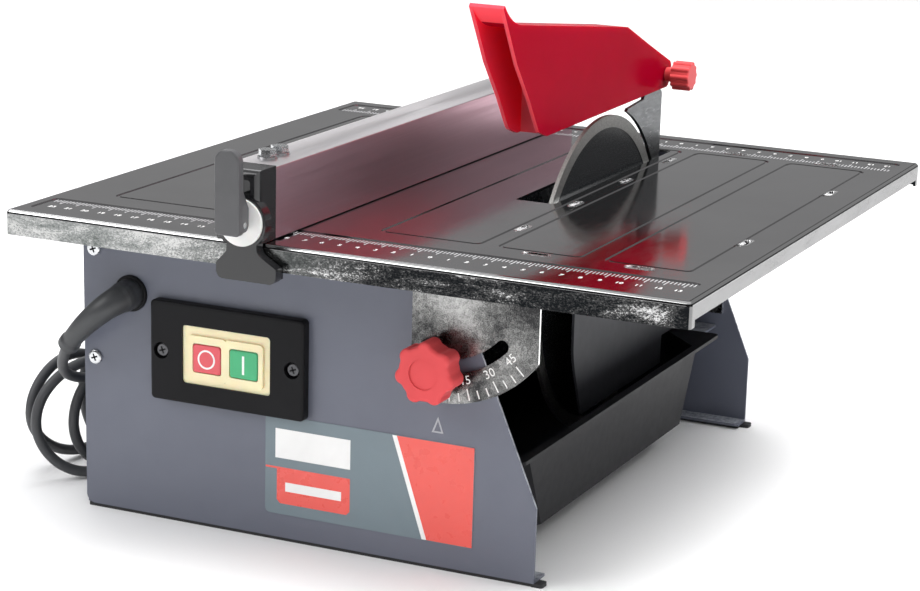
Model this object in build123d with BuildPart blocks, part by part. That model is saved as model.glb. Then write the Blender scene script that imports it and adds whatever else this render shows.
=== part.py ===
"""Wet tile saw: a sheet-steel base with a tilting ruled table over a water-cooled diamond blade.

Frame: +X right as seen by the user, +Y away from the user, +Z up. The origin is on the
surface the saw stands on, under the middle of the table. Millimetres throughout.
"""

from build123d import *
from math import cos, radians, sin, sqrt, tan
import os

os.makedirs("parts", exist_ok=True)

# ---------------------------------------------------------------- driving dimensions
TABLE_W, TABLE_D, TABLE_TOP = 380.0, 395.0, 168.0
SHEET = 1.5
FRONT_LIP, SIDE_LIP = 13.4, 9.7
BASE_LEFT, BASE_RIGHT, BASE_HALF_D = -164.0, 102.0, 164.0
BASE_BOTTOM, BASE_TOP = 2.0, 164.0
KNEE_Z, SLANT = 42.0, 0.43
FLANGE_W = 14.0
PIVOT_X, PIVOT_Z = 47.5, 156.5
BLADE_X, BLADE_Y, BLADE_Z, BLADE_R = 46.0, 46.0, 114.0, 90.0
CORE_T, RIM_T, RIM_W = 1.6, 2.2, 7.0
STUD_DROP, STUD_R = 47.0, 3.0
GAP = 0.4
RUN = 0.05
TANK_LOW, TANK_HIGH, TANK_WALL, TANK_RIM_T = 16.0, 63.5, 2.5, 2.0
RAIL_LEFT, RAIL_RIGHT, RAIL_FRONT, RAIL_REAR = -70.0, 80.0, -156.0, 128.5
RAIL_TOP = TANK_HIGH - TANK_RIM_T - GAP

# ---------------------------------------------------------------- table features
SLOT_LEFT, SLOT_RIGHT, SLOT_FRONT, SLOT_REAR = 27.0, 50.0, -31.0, 149.8
RULE_Y, RULE_W, RULE_LEFT, RULE_RIGHT = 173.0, 27.0, -183.0, 182.0
EMBOSS = 0.5
PANEL_FRONT, PANEL_REAR, GROOVE_W = -141.5, 152.5, 2.2
PANEL_SPANS = ((-160.0, -75.0), (-1.0, 57.0), (65.0, 112.0), (122.5, 170.0))
DRAINS_Y = ((59.7, -95.0), (59.7, -24.0), (59.7, 49.4), (59.7, 119.8), (171.2, -65.4), (171.2, 79.6))
DRAINS_X = ((89.0, -145.4), (144.0, -145.6), (87.0, 162.0), (144.0, 160.2))
DRAIN_L, DRAIN_W = 14.0, 3.5

# ---------------------------------------------------------------- fence
FENCE_LEFT, FENCE_RIGHT = -61.0, -36.0
FENCE_X = (FENCE_LEFT + FENCE_RIGHT) / 2
FENCE_BOTTOM, FENCE_TOP = TABLE_TOP + GAP, 205.0
FENCE_FRONT, FENCE_REAR = -185.5, 200.0
FENCE_WALL = 1.8
HEAD_FRONT, HEAD_X = -204.5, -44.9
ROD_Z, ROD_R = 179.4, 2.5
LEVER_Y = -210.0
PAD_R, PAD_FRONT = 12.0, -206.0
PIN_R = 1.5
HOOK_BOTTOM, HOOK_TOP = 149.5, 153.6

# ---------------------------------------------------------------- guard and knife
GUARD_HALF, GUARD_WALL = 9.6, 2.0
GUARD_Y, GUARD_Z = 117.9, 219.2
GUARD_SCREW_R, EAR_R = 2.5, 5.8
KNIFE_T, KNIFE_GAP, KNIFE_REAR = 2.0, 4.0, 136.0
KNIFE_BOLT_XS, KNIFE_BOLT_Z = (60.0, 76.0), 78.0
KNIFE_BOLT_Y, KNIFE_BOLT_ZS = 149.0, (110.0, 134.0)

# ---------------------------------------------------------------- motor
MOTOR_R, MOTOR_LEFT, MOTOR_RIGHT = 45.0, -100.0, 5.0
WALL_X, WALL_T = 12.0, 2.0
SHAFT_R = 6.0

# ---------------------------------------------------------------- switch
SWITCH_X, SWITCH_Z, SWITCH_W, SWITCH_H, SWITCH_T = -73.75, 96.0, 91.5, 54.0, 6.0
WINDOW_W, WINDOW_H = 52.5, 31.5
BUTTON_W, BUTTON_H, BUTTON_PITCH, BUTTON_Z = 16.4, 15.0, 22.0, 95.0
BUTTON_FRONT = -171.0
SWITCH_SCREWS = 39.0

# ---------------------------------------------------------------- lead
CORD_R = 3.0
GLAND_X, GLAND_Z, GLAND_R = -134.5, 122.9, 8.5
BOOT_ROUTE = [(-134.5, -160, 122.9), (-134.5, -178.5, 122.9), (-154.5, -182, 106.0), (-166.2, -176.5, 93.3)]
LEAD_ROUTE = [
    (-166.2, -176.5, 93.3),
    (-174.6, -171.0, 82.6),
    (-181.5, -157.5, 70.5),
    (-184.0, -142.0, 62.0),
    (-180.0, -125.5, 56.0),
]
TAIL_ROUTE = [
    (-214.0, -49.0, 28.5),
    (-213.5, -37.0, 14.0),
    (-211.0, -20.0, 5.5),
    (-206.5, 0.0, 4.0),
    (-201.5, 19.0, 9.5),
    (-198.0, 36.5, 19.3),
]
COIL_Y, COIL_Z, COIL_HALF_L, COIL_HALF_H = -85.0, 35.2, 61.0, 34.9
COIL_HOLE_L, COIL_HOLE_H = 27.0, 17.0
COIL_LEFT, COIL_RIGHT = -225.5, -167.3
COIL_PLAN = [
    (-213, -146.5),
    (COIL_LEFT, -137),
    (-219, -62),
    (-209, -33),
    (-190, -24),
    (-176, -28),
    (COIL_RIGHT, -46),
    (COIL_RIGHT, -112),
    (-205, -143.5),
]
PLUG_X, PLUG_REAR, PLUG_R, PLUG_Z = -198.0, 36.5, 19.0, 19.3


def slant_x(z):
    """Right-hand edge of the front and rear panels at height z above the knee."""
    return BASE_RIGHT - SLANT * (z - KNEE_Z)


def polar(radius, degrees):
    """Point on a circle about the tilt axis, 0 straight down and positive towards +X."""
    angle = radians(degrees)
    return (PIVOT_X + radius * sin(angle), PIVOT_Z - radius * cos(angle))


def cord_radii(route):
    """Largest bend at each inner point of a lead: 0.45 of the shorter run over tan(half the turn)."""
    points = [Vector(*p) for p in route]
    radii = []
    for a, b, c in zip(points, points[1:], points[2:]):
        before, after = b - a, c - b
        half_turn = radians(before.get_angle(after)) / 2
        radii.append(0.45 * min(before.length, after.length) / tan(half_turn))
    return radii


def report_cord(name, part, wire_length, radii):
    """Prints a tube's bends and compares its volume with its section times its length."""
    area = 3.14159265 * CORD_R**2
    bends = ", ".join(f"{r:.1f}" for r in radii)
    print(f"{name}: bends {bends} mm, volume {part.volume:.0f} against {area * wire_length:.0f} mm3")


# ================================================================ base
PANEL_POINTS = [
    (BASE_LEFT, BASE_BOTTOM),
    (BASE_RIGHT, BASE_BOTTOM),
    (BASE_RIGHT, KNEE_Z),
    (slant_x(PIVOT_Z), PIVOT_Z),
    (PIVOT_X, BASE_TOP),
    (BASE_LEFT, BASE_TOP),
]
SCREW_X, SCREW_HEIGHTS, SCREW_R = -157.0, (85.0, 144.5), 2.0

with BuildPart() as front_panel:
    with BuildSketch(Plane.XZ.offset(BASE_HALF_D - SHEET)):
        Polygon(*PANEL_POINTS, align=None)
        with Locations((PIVOT_X, PIVOT_Z)):
            Circle(8)
        with Locations((BASE_LEFT + 2.5, BASE_BOTTOM + 2.5)):
            Rectangle(5, 5, mode=Mode.SUBTRACT)
        with Locations((BASE_LEFT + 5, BASE_BOTTOM + 5)):
            Circle(5)
    extrude(amount=SHEET)
    with BuildSketch(Plane.XY.offset(BASE_BOTTOM)):
        with Locations(((BASE_LEFT + 22 + BASE_RIGHT) / 2, -BASE_HALF_D + FLANGE_W / 2)):
            Rectangle(BASE_RIGHT - BASE_LEFT - 22, FLANGE_W)
    extrude(amount=SHEET)
    with BuildSketch(Plane.XY.offset(RAIL_TOP)):
        with Locations(((RAIL_LEFT + RAIL_RIGHT) / 2, (RAIL_FRONT - BASE_HALF_D) / 2)):
            Rectangle(RAIL_RIGHT - RAIL_LEFT, RAIL_FRONT + BASE_HALF_D)
    extrude(amount=-SHEET)
    with BuildSketch(Plane.XZ.offset(BASE_HALF_D)):
        with Locations((GLAND_X, GLAND_Z)):
            Circle(GLAND_R)
        with Locations((SWITCH_X, SWITCH_Z)):
            Rectangle(65, 38)
        with Locations((PIVOT_X, PIVOT_Z)):
            Circle(4)
        with Locations((PIVOT_X, PIVOT_Z - STUD_DROP)):
            Circle(STUD_R)
        with Locations(*[(SCREW_X, z) for z in SCREW_HEIGHTS]):
            Circle(SCREW_R)
        with Locations((SWITCH_X - SWITCH_SCREWS, SWITCH_Z), (SWITCH_X + SWITCH_SCREWS, SWITCH_Z)):
            Circle(SCREW_R)
    extrude(amount=-SHEET, mode=Mode.SUBTRACT)
front_panel.part.label = "front_panel"
export_step(front_panel.part, "parts/front_panel.step")

with BuildPart() as rear_panel:
    with BuildSketch(Plane.XZ.offset(-BASE_HALF_D)):
        Polygon(*PANEL_POINTS, align=None)
        with Locations((PIVOT_X, PIVOT_Z)):
            Circle(8)
    extrude(amount=SHEET)
    with BuildSketch(Plane.XY.offset(BASE_BOTTOM)):
        with Locations(((BASE_LEFT + 22 + BASE_RIGHT) / 2, BASE_HALF_D - FLANGE_W / 2)):
            Rectangle(BASE_RIGHT - BASE_LEFT - 22, FLANGE_W)
    extrude(amount=SHEET)
    with BuildSketch(Plane.XY.offset(RAIL_TOP)):
        with Locations(((RAIL_LEFT + RAIL_RIGHT) / 2, (RAIL_REAR + BASE_HALF_D) / 2)):
            Rectangle(RAIL_RIGHT - RAIL_LEFT, BASE_HALF_D - RAIL_REAR)
    extrude(amount=-SHEET)
    with BuildSketch(Plane.XZ.offset(-BASE_HALF_D)):
        with Locations((PIVOT_X, PIVOT_Z)):
            Circle(4)
        with Locations((PIVOT_X, PIVOT_Z - STUD_DROP)):
            Circle(STUD_R)
        with Locations(*[(SCREW_X, z) for z in SCREW_HEIGHTS]):
            Circle(SCREW_R)
        with Locations(*[(x, KNIFE_BOLT_Z) for x in KNIFE_BOLT_XS]):
            Circle(2.5)
    extrude(amount=SHEET, mode=Mode.SUBTRACT)
rear_panel.part.label = "rear_panel"
export_step(rear_panel.part, "parts/rear_panel.step")

SIDE_HALF_D = BASE_HALF_D - SHEET
VENT_ROWS, VENT_PITCH, VENT_L, VENT_W = 7, 9.0, 44.0, 4.0

with BuildPart() as side_panel:
    with BuildSketch(Plane.YZ.offset(BASE_LEFT)):
        with Locations((0, (BASE_BOTTOM + 152) / 2)):
            Rectangle(2 * SIDE_HALF_D, 152 - BASE_BOTTOM)
        with Locations((BLADE_Y, BLADE_Z - 6)):
            with GridLocations(0, VENT_PITCH, 1, VENT_ROWS):
                SlotOverall(VENT_L, VENT_W, mode=Mode.SUBTRACT)
    extrude(amount=SHEET)
    with BuildSketch(Plane.XY.offset(BASE_BOTTOM)):
        with Locations((BASE_LEFT + FLANGE_W / 2, 0)):
            Rectangle(FLANGE_W, 2 * SIDE_HALF_D - 2 * FLANGE_W)
    extrude(amount=SHEET)
    with BuildSketch(Plane.XY.offset(BASE_BOTTOM + 10)):
        with Locations((BASE_LEFT + FLANGE_W / 2, SIDE_HALF_D - SHEET / 2)):
            Rectangle(FLANGE_W, SHEET)
        with Locations((BASE_LEFT + FLANGE_W / 2, -SIDE_HALF_D + SHEET / 2)):
            Rectangle(FLANGE_W, SHEET)
    extrude(amount=138)
    with BuildSketch(Plane.XZ.offset(SIDE_HALF_D)):
        with Locations(*[(SCREW_X, z) for z in SCREW_HEIGHTS]):
            Circle(SCREW_R)
    extrude(amount=-2 * SIDE_HALF_D, mode=Mode.SUBTRACT)
side_panel.part.label = "side_panel"
export_step(side_panel.part, "parts/side_panel.step")

with BuildPart() as foot_strip:
    with BuildSketch():
        for side in (-1, 1):
            with Locations(((BASE_LEFT + BASE_RIGHT) / 2, side * (BASE_HALF_D - 1 - 5))):
                Rectangle(BASE_RIGHT - BASE_LEFT - 2, 10)
        with Locations((BASE_LEFT + 1 + 5, 0)):
            Rectangle(10, 2 * (BASE_HALF_D - 1))
    extrude(amount=BASE_BOTTOM)
    for side in (-1, 1):
        with BuildSketch(Plane.XY):
            with Locations((BASE_RIGHT + 1, side * (BASE_HALF_D - 4))):
                RectangleRounded(7, 7, 1.5)
        extrude(amount=BASE_BOTTOM)
foot_strip.part.label = "foot_strip"
export_step(foot_strip.part, "parts/foot_strip.step")

with BuildPart() as panel_screws:
    for side in (-1, 1):
        for z in SCREW_HEIGHTS:
            with BuildSketch(Plane.XZ.offset(side * BASE_HALF_D)):
                with Locations((SCREW_X, z)):
                    Circle(4)
            extrude(amount=side * 1.8)
            with BuildSketch(Plane.XZ.offset(side * (BASE_HALF_D - 8))):
                with Locations((SCREW_X, z)):
                    Circle(SCREW_R)
            extrude(amount=side * 8)
    fillet(panel_screws.edges().filter_by(GeomType.CIRCLE).group_by(Axis.Y)[0], radius=1.2)
    fillet(panel_screws.edges().filter_by(GeomType.CIRCLE).group_by(Axis.Y)[-1], radius=1.2)
panel_screws.part.label = "panel_screws"
export_step(panel_screws.part, "parts/panel_screws.step")

with BuildPart() as table_rest_pads:
    with BuildSketch(Plane.XY.offset(BASE_TOP)):
        with Locations((-150, BASE_HALF_D - SHEET / 2), (-150, -BASE_HALF_D + SHEET / 2)):
            Rectangle(24, SHEET)
    extrude(amount=TABLE_TOP - SHEET - GAP - BASE_TOP)
table_rest_pads.part.label = "table_rest_pads"
export_step(table_rest_pads.part, "parts/table_rest_pads.step")

with BuildPart() as rating_label:
    with BuildSketch(Plane.XZ.offset(BASE_HALF_D)):
        with Locations((7.2, 42)):
            RectangleRounded(120.5, 54, 3)
    extrude(amount=0.3)
rating_label.part.label = "rating_label"
export_step(rating_label.part, "parts/rating_label.step")

# ================================================================ tilt pivots and clamp studs
BRACKET_Y = BASE_HALF_D + GAP
PIVOT_HEAD = BRACKET_Y + SHEET + GAP

with BuildPart() as pivot_bolts:
    for side in (-1, 1):
        with BuildSketch(Plane.XZ.offset(side * (BASE_HALF_D - SHEET))):
            with Locations((PIVOT_X, PIVOT_Z)):
                Circle(4)
        extrude(amount=side * (PIVOT_HEAD - BASE_HALF_D + SHEET))
        with BuildSketch(Plane.XZ.offset(side * PIVOT_HEAD)):
            with Locations((PIVOT_X, PIVOT_Z)):
                Circle(7)
        extrude(amount=side * 2.5)
        with BuildSketch(Plane.XZ.offset(side * (BASE_HALF_D - SHEET))):
            with Locations((PIVOT_X, PIVOT_Z - 0.5)):
                RegularPolygon(6.5, 6, major_radius=False)
        extrude(amount=-side * 6)
pivot_bolts.part.label = "pivot_bolts"
export_step(pivot_bolts.part, "parts/pivot_bolts.step")

with BuildPart() as bevel_studs:
    for side in (-1, 1):
        with BuildSketch(Plane.XZ.offset(side * (BASE_HALF_D - SHEET))):
            with Locations((PIVOT_X, PIVOT_Z - STUD_DROP)):
                Circle(STUD_R)
        extrude(amount=side * (SHEET + 15))
        with BuildSketch(Plane.XZ.offset(side * (BASE_HALF_D - SHEET))):
            with Locations((PIVOT_X, PIVOT_Z - STUD_DROP)):
                RegularPolygon(5.5, 6, major_radius=False)
        extrude(amount=-side * 4)
bevel_studs.part.label = "bevel_studs"
export_step(bevel_studs.part, "parts/bevel_studs.step")

KNOB_R, KNOB_LOBES, KNOB_BACK, KNOB_FRONT = 16.5, 7, BRACKET_Y + SHEET + GAP, 185.5

with BuildPart() as bevel_knob_front:
    with BuildSketch(Plane.XZ.offset(KNOB_FRONT - 13)):
        with Locations((PIVOT_X, PIVOT_Z - STUD_DROP)):
            Circle(14.2)
            with PolarLocations(KNOB_R - 4.2, KNOB_LOBES, start_angle=90):
                Circle(4.2)
        fillet(vertices(), radius=3)
    extrude(amount=13)
    with BuildSketch(Plane.XZ.offset(KNOB_BACK)):
        with Locations((PIVOT_X, PIVOT_Z - STUD_DROP)):
            Circle(10)
    extrude(amount=KNOB_FRONT - 13 - KNOB_BACK)
    fillet(bevel_knob_front.faces().sort_by(Axis.Y)[0].edges(), radius=2)
    with BuildSketch(Plane.XZ.offset(KNOB_FRONT)):
        with Locations((PIVOT_X, PIVOT_Z - STUD_DROP)):
            Circle(8)
    extrude(amount=-0.8, mode=Mode.SUBTRACT)
    with BuildSketch(Plane.XZ.offset(KNOB_BACK)):
        with Locations((PIVOT_X, PIVOT_Z - STUD_DROP)):
            Circle(STUD_R + RUN)
    extrude(amount=14, mode=Mode.SUBTRACT)
bevel_knob_front.part.label = "bevel_knob_front"
export_step(bevel_knob_front.part, "parts/bevel_knob_front.step")

with BuildPart() as bevel_knob_rear:
    add(bevel_knob_front.part)
    mirror(about=Plane.XZ, mode=Mode.REPLACE)
bevel_knob_rear.part.label = "bevel_knob_rear"
export_step(bevel_knob_rear.part, "parts/bevel_knob_rear.step")

# ================================================================ table
with BuildPart() as table_top:
    with BuildSketch(Plane.XY.offset(TABLE_TOP - FRONT_LIP)):
        RectangleRounded(TABLE_W, TABLE_D, 2.5)
    extrude(amount=FRONT_LIP)
    fillet(table_top.faces().sort_by(Axis.Z)[-1].edges(), radius=2.4)
    with BuildSketch(Plane.XY.offset(TABLE_TOP - FRONT_LIP)):
        RectangleRounded(TABLE_W - 2 * SHEET, TABLE_D - 2 * SHEET, 1.5)
    extrude(amount=FRONT_LIP - SHEET, mode=Mode.SUBTRACT)
    with BuildSketch(Plane.XY.offset(TABLE_TOP - FRONT_LIP)):
        with Locations((TABLE_W / 2, 0), (-TABLE_W / 2, 0)):
            Rectangle(12, TABLE_D - 12)
    extrude(amount=FRONT_LIP - SIDE_LIP, mode=Mode.SUBTRACT)
    with BuildSketch(Plane.XY.offset(TABLE_TOP)):
        with Locations(((RULE_LEFT + RULE_RIGHT) / 2, -RULE_Y), ((RULE_LEFT + RULE_RIGHT) / 2, RULE_Y)):
            RectangleRounded(RULE_RIGHT - RULE_LEFT, RULE_W, 4)
    extrude(amount=-EMBOSS, mode=Mode.SUBTRACT)
    with BuildSketch(Plane.XY.offset(TABLE_TOP)):
        for left, right in PANEL_SPANS:
            with Locations(((left + right) / 2, (PANEL_FRONT + PANEL_REAR) / 2)):
                RectangleRounded(right - left, PANEL_REAR - PANEL_FRONT, 5)
                RectangleRounded(
                    right - left - 2 * GROOVE_W, PANEL_REAR - PANEL_FRONT - 2 * GROOVE_W, 3, mode=Mode.SUBTRACT
                )
    extrude(amount=-EMBOSS, mode=Mode.SUBTRACT)
    with BuildSketch(Plane.XY.offset(TABLE_TOP)):
        with Locations(((SLOT_LEFT + SLOT_RIGHT) / 2, (SLOT_FRONT + SLOT_REAR) / 2)):
            RectangleRounded(SLOT_RIGHT - SLOT_LEFT, SLOT_REAR - SLOT_FRONT, 1.5)
        with Locations(*DRAINS_X):
            SlotOverall(DRAIN_L, DRAIN_W)
        with Locations(*DRAINS_Y):
            SlotOverall(DRAIN_L, DRAIN_W, rotation=90)
    extrude(amount=-SHEET, mode=Mode.SUBTRACT)
table_top.part.label = "table_top"
export_step(table_top.part, "parts/table_top.step")

BRACKET_LEFT, BRACKET_RIGHT, BRACKET_R = 31.4, 101.0, 66.2
CROWN_Z = TABLE_TOP - SHEET
TICK_IN, TICK_OUT, TICK_W, TICK_DEPTH = 60.0, 65.0, 0.8, 0.3
slot_line = CenterArc((PIVOT_X, PIVOT_Z), STUD_DROP, -91, 47)

with BuildPart() as front_bracket:
    with BuildSketch(Plane.XZ.offset(BRACKET_Y)):
        with Locations((PIVOT_X, PIVOT_Z)):
            Circle(BRACKET_R)
        with Locations(((BRACKET_LEFT + BRACKET_RIGHT) / 2, CROWN_Z - 40)):
            Rectangle(BRACKET_RIGHT - BRACKET_LEFT, 80, mode=Mode.INTERSECT)
        SlotArc(slot_line, 2 * STUD_R + 1, mode=Mode.SUBTRACT)
        with Locations((PIVOT_X, PIVOT_Z)):
            Circle(4 + RUN, mode=Mode.SUBTRACT)
    extrude(amount=SHEET)
    with BuildSketch(Plane.XZ.offset(BRACKET_Y + SHEET)):
        for step in range(10):
            with Locations(polar((TICK_IN + TICK_OUT) / 2, 5 * step)):
                Rectangle(TICK_W, TICK_OUT - TICK_IN, rotation=5 * step)
    extrude(amount=-TICK_DEPTH, mode=Mode.SUBTRACT)
    with BuildSketch(Plane.XY.offset(CROWN_Z)):
        with Locations(((BRACKET_LEFT + BRACKET_RIGHT) / 2, -BRACKET_Y - SHEET - 7)):
            Rectangle(BRACKET_RIGHT - BRACKET_LEFT, 14)
    extrude(amount=-SHEET)
front_bracket.part.label = "front_bracket"
export_step(front_bracket.part, "parts/front_bracket.step")

with BuildPart() as rear_bracket:
    add(front_bracket.part)
    mirror(about=Plane.XZ, mode=Mode.REPLACE)
rear_bracket.part.label = "rear_bracket"
export_step(rear_bracket.part, "parts/rear_bracket.step")

# ================================================================ fence
FENCE_W = FENCE_RIGHT - FENCE_LEFT
FENCE_H = FENCE_TOP - FENCE_BOTTOM
CAVITY_W, CAVITY_H = FENCE_W - 2 * FENCE_WALL, FENCE_H - 2 * FENCE_WALL
FENCE_MID = (FENCE_TOP + FENCE_BOTTOM) / 2
BOLT_X, BOLT_YS, BOLT_R = -51.0, (-167.4, -154.8), 2.5

with BuildPart() as fence_extrusion:
    with BuildSketch(Plane.XZ.offset(-FENCE_REAR)):
        with Locations((FENCE_X, FENCE_MID)):
            RectangleRounded(FENCE_W, FENCE_H, 0.6)
            Rectangle(CAVITY_W, CAVITY_H, mode=Mode.SUBTRACT)
    extrude(amount=FENCE_REAR - FENCE_FRONT)
    with BuildSketch(Plane.XY.offset(FENCE_TOP)):
        with Locations(*[(BOLT_X, y) for y in BOLT_YS]):
            Circle(BOLT_R)
    extrude(amount=-FENCE_WALL, mode=Mode.SUBTRACT)
fence_extrusion.part.label = "fence_extrusion"
export_step(fence_extrusion.part, "parts/fence_extrusion.step")

HEAD_BACK, CAP_DEPTH = -TABLE_D / 2 - 0.6, 17.5
FOOT_LEFT, FOOT_RIGHT, NECK_HALF = -59.4, -25.5, 8.5
HEAD_POINTS = [
    (FOOT_LEFT, HOOK_BOTTOM),
    (FOOT_RIGHT, HOOK_BOTTOM),
    (FOOT_RIGHT, 157.5),
    (HEAD_X + NECK_HALF, 164.0),
    (HEAD_X + NECK_HALF, ROD_Z),
    (HEAD_X - NECK_HALF, ROD_Z),
    (HEAD_X - NECK_HALF, 164.0),
    (FOOT_LEFT, 157.5),
]

with BuildPart() as fence_head:
    with BuildSketch(Plane.XZ.offset(-FENCE_FRONT)):
        with Locations((FENCE_X, FENCE_MID + 0.3)):
            Rectangle(FENCE_W, FENCE_H + 0.6)
    extrude(amount=CAP_DEPTH)
    fillet(fence_head.faces().sort_by(Axis.Y)[0].edges(), radius=3.5)
    with BuildSketch(Plane.XZ.offset(203)):
        with Locations((FENCE_X, 192)):
            RectangleRounded(15, 17, 1.5)
    extrude(amount=-9, mode=Mode.SUBTRACT)
    with BuildSketch(Plane.XZ.offset(-HEAD_BACK)):
        Polygon(*HEAD_POINTS, align=None)
        fillet(vertices().group_by(Axis.Y)[0], radius=4)
        fillet(vertices().sort_by_distance((HEAD_X + NECK_HALF, 164))[0], radius=5)
        fillet(vertices().sort_by_distance((HEAD_X - NECK_HALF, 164))[0], radius=3)
        with Locations((HEAD_X, ROD_Z)):
            Circle(PAD_R + 1.6)
    extrude(amount=HEAD_BACK - HEAD_FRONT)
    with BuildSketch(Plane.XZ.offset(-HEAD_FRONT)):
        with Locations((HEAD_X, ROD_Z)):
            Circle(PAD_R)
    extrude(amount=-1.5, mode=Mode.SUBTRACT)
    with BuildSketch(Plane.YZ.offset(FOOT_LEFT + 4)):
        Polygon(
            (HEAD_BACK, HOOK_BOTTOM),
            (-189.5, HOOK_BOTTOM),
            (-189.5, 159.0),
            (-193.5, 159.0),
            (-193.5, HOOK_TOP),
            (HEAD_BACK, HOOK_TOP),
            align=None,
        )
    extrude(amount=FOOT_RIGHT - FOOT_LEFT - 8)
    with BuildSketch(Plane.XZ.offset(-FENCE_FRONT)):
        with Locations((FENCE_X, FENCE_MID)):
            Rectangle(CAVITY_W, CAVITY_H)
    extrude(amount=-38)
    with BuildSketch(Plane.XZ.offset(210)):
        with Locations((HEAD_X, ROD_Z)):
            Circle(ROD_R)
    extrude(amount=-80, mode=Mode.SUBTRACT)
    with BuildSketch(Plane.XY.offset(FENCE_TOP)):
        with Locations(*[(BOLT_X, y) for y in BOLT_YS]):
            Circle(BOLT_R)
    extrude(amount=-14, mode=Mode.SUBTRACT)
fence_head.part.label = "fence_head"
export_step(fence_head.part, "parts/fence_head.step")

with BuildPart() as fence_bolts:
    with BuildSketch(Plane.XY.offset(FENCE_TOP)):
        with Locations(*[(BOLT_X, y) for y in BOLT_YS]):
            Circle(5.2)
    extrude(amount=1)
    with BuildSketch(Plane.XY.offset(FENCE_TOP + 1)):
        with Locations(*[(BOLT_X, y) for y in BOLT_YS]):
            RegularPolygon(4, 6, major_radius=False, rotation=15)
    extrude(amount=3.5)
    with BuildSketch(Plane.XY.offset(FENCE_TOP)):
        with Locations(*[(BOLT_X, y) for y in BOLT_YS]):
            Circle(BOLT_R)
    extrude(amount=-14)
fence_bolts.part.label = "fence_bolts"
export_step(fence_bolts.part, "parts/fence_bolts.step")

HOOK_FACE, HOOK_T = FENCE_REAR, 5.0
with BuildPart() as fence_rear_hook:
    with BuildSketch(Plane.YZ.offset(HEAD_X - 7)):
        Polygon(
            (HOOK_FACE, 202.0),
            (HOOK_FACE + HOOK_T, 202.0),
            (HOOK_FACE + HOOK_T, HOOK_BOTTOM),
            (189.5, HOOK_BOTTOM),
            (189.5, 158.0),
            (193.5, 158.0),
            (193.5, HOOK_TOP),
            (HOOK_FACE, HOOK_TOP),
            align=None,
        )
        fillet(vertices().sort_by_distance((HOOK_FACE + HOOK_T, HOOK_BOTTOM))[0], radius=3)
    extrude(amount=14)
    fillet(fence_rear_hook.edges().filter_by(Axis.Y).group_by(Axis.Z)[-1], radius=4)
    with BuildSketch(Plane.XZ.offset(-HOOK_FACE - HOOK_T)):
        with Locations((HEAD_X, ROD_Z)):
            Circle(ROD_R)
    extrude(amount=HOOK_T, mode=Mode.SUBTRACT)
fence_rear_hook.part.label = "fence_rear_hook"
export_step(fence_rear_hook.part, "parts/fence_rear_hook.step")

with BuildPart() as rod_nut:
    with BuildSketch(Plane.XZ.offset(-HOOK_FACE - HOOK_T)):
        with Locations((HEAD_X, ROD_Z)):
            RegularPolygon(4, 6, major_radius=False)
            Circle(ROD_R, mode=Mode.SUBTRACT)
    extrude(amount=-4)
rod_nut.part.label = "rod_nut"
export_step(rod_nut.part, "parts/rod_nut.step")

EYE_R, EYE_HALF = 3.0, 2.4
with BuildPart() as tie_rod:
    with BuildSketch(Plane.XZ.offset(-HOOK_FACE - HOOK_T - 5)):
        with Locations((HEAD_X, ROD_Z)):
            Circle(ROD_R)
    extrude(amount=HOOK_FACE + HOOK_T + 5 - LEVER_Y)
    with BuildSketch(Plane.YZ.offset(HEAD_X - EYE_HALF)):
        with Locations((LEVER_Y, ROD_Z)):
            Circle(EYE_R)
    extrude(amount=2 * EYE_HALF)
    with BuildSketch(Plane.YZ.offset(HEAD_X - 10)):
        with Locations((LEVER_Y, ROD_Z)):
            Circle(PIN_R)
    extrude(amount=20, mode=Mode.SUBTRACT)
tie_rod.part.label = "tie_rod"
export_step(tie_rod.part, "parts/tie_rod.step")

with BuildPart() as lever_pin:
    with BuildSketch(Plane.YZ.offset(HEAD_X - 5.2)):
        with Locations((LEVER_Y, ROD_Z)):
            Circle(PIN_R)
    extrude(amount=10.4)
lever_pin.part.label = "lever_pin"
export_step(lever_pin.part, "parts/lever_pin.step")

with BuildPart() as cam_pad:
    with BuildSketch(Plane.XZ.offset(-HEAD_FRONT - 1.5)):
        with Locations((HEAD_X, ROD_Z)):
            Circle(PAD_R)
            Circle(ROD_R, mode=Mode.SUBTRACT)
    extrude(amount=-PAD_FRONT + HEAD_FRONT + 1.5)
cam_pad.part.label = "cam_pad"
export_step(cam_pad.part, "parts/cam_pad.step")

PADDLE_W, PADDLE_FRONT, PADDLE_BACK, PADDLE_BOTTOM, PADDLE_TOP = 14.0, -219.5, -215.0, 175.2, 218.0
WEB_HALF = 5.2

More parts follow.
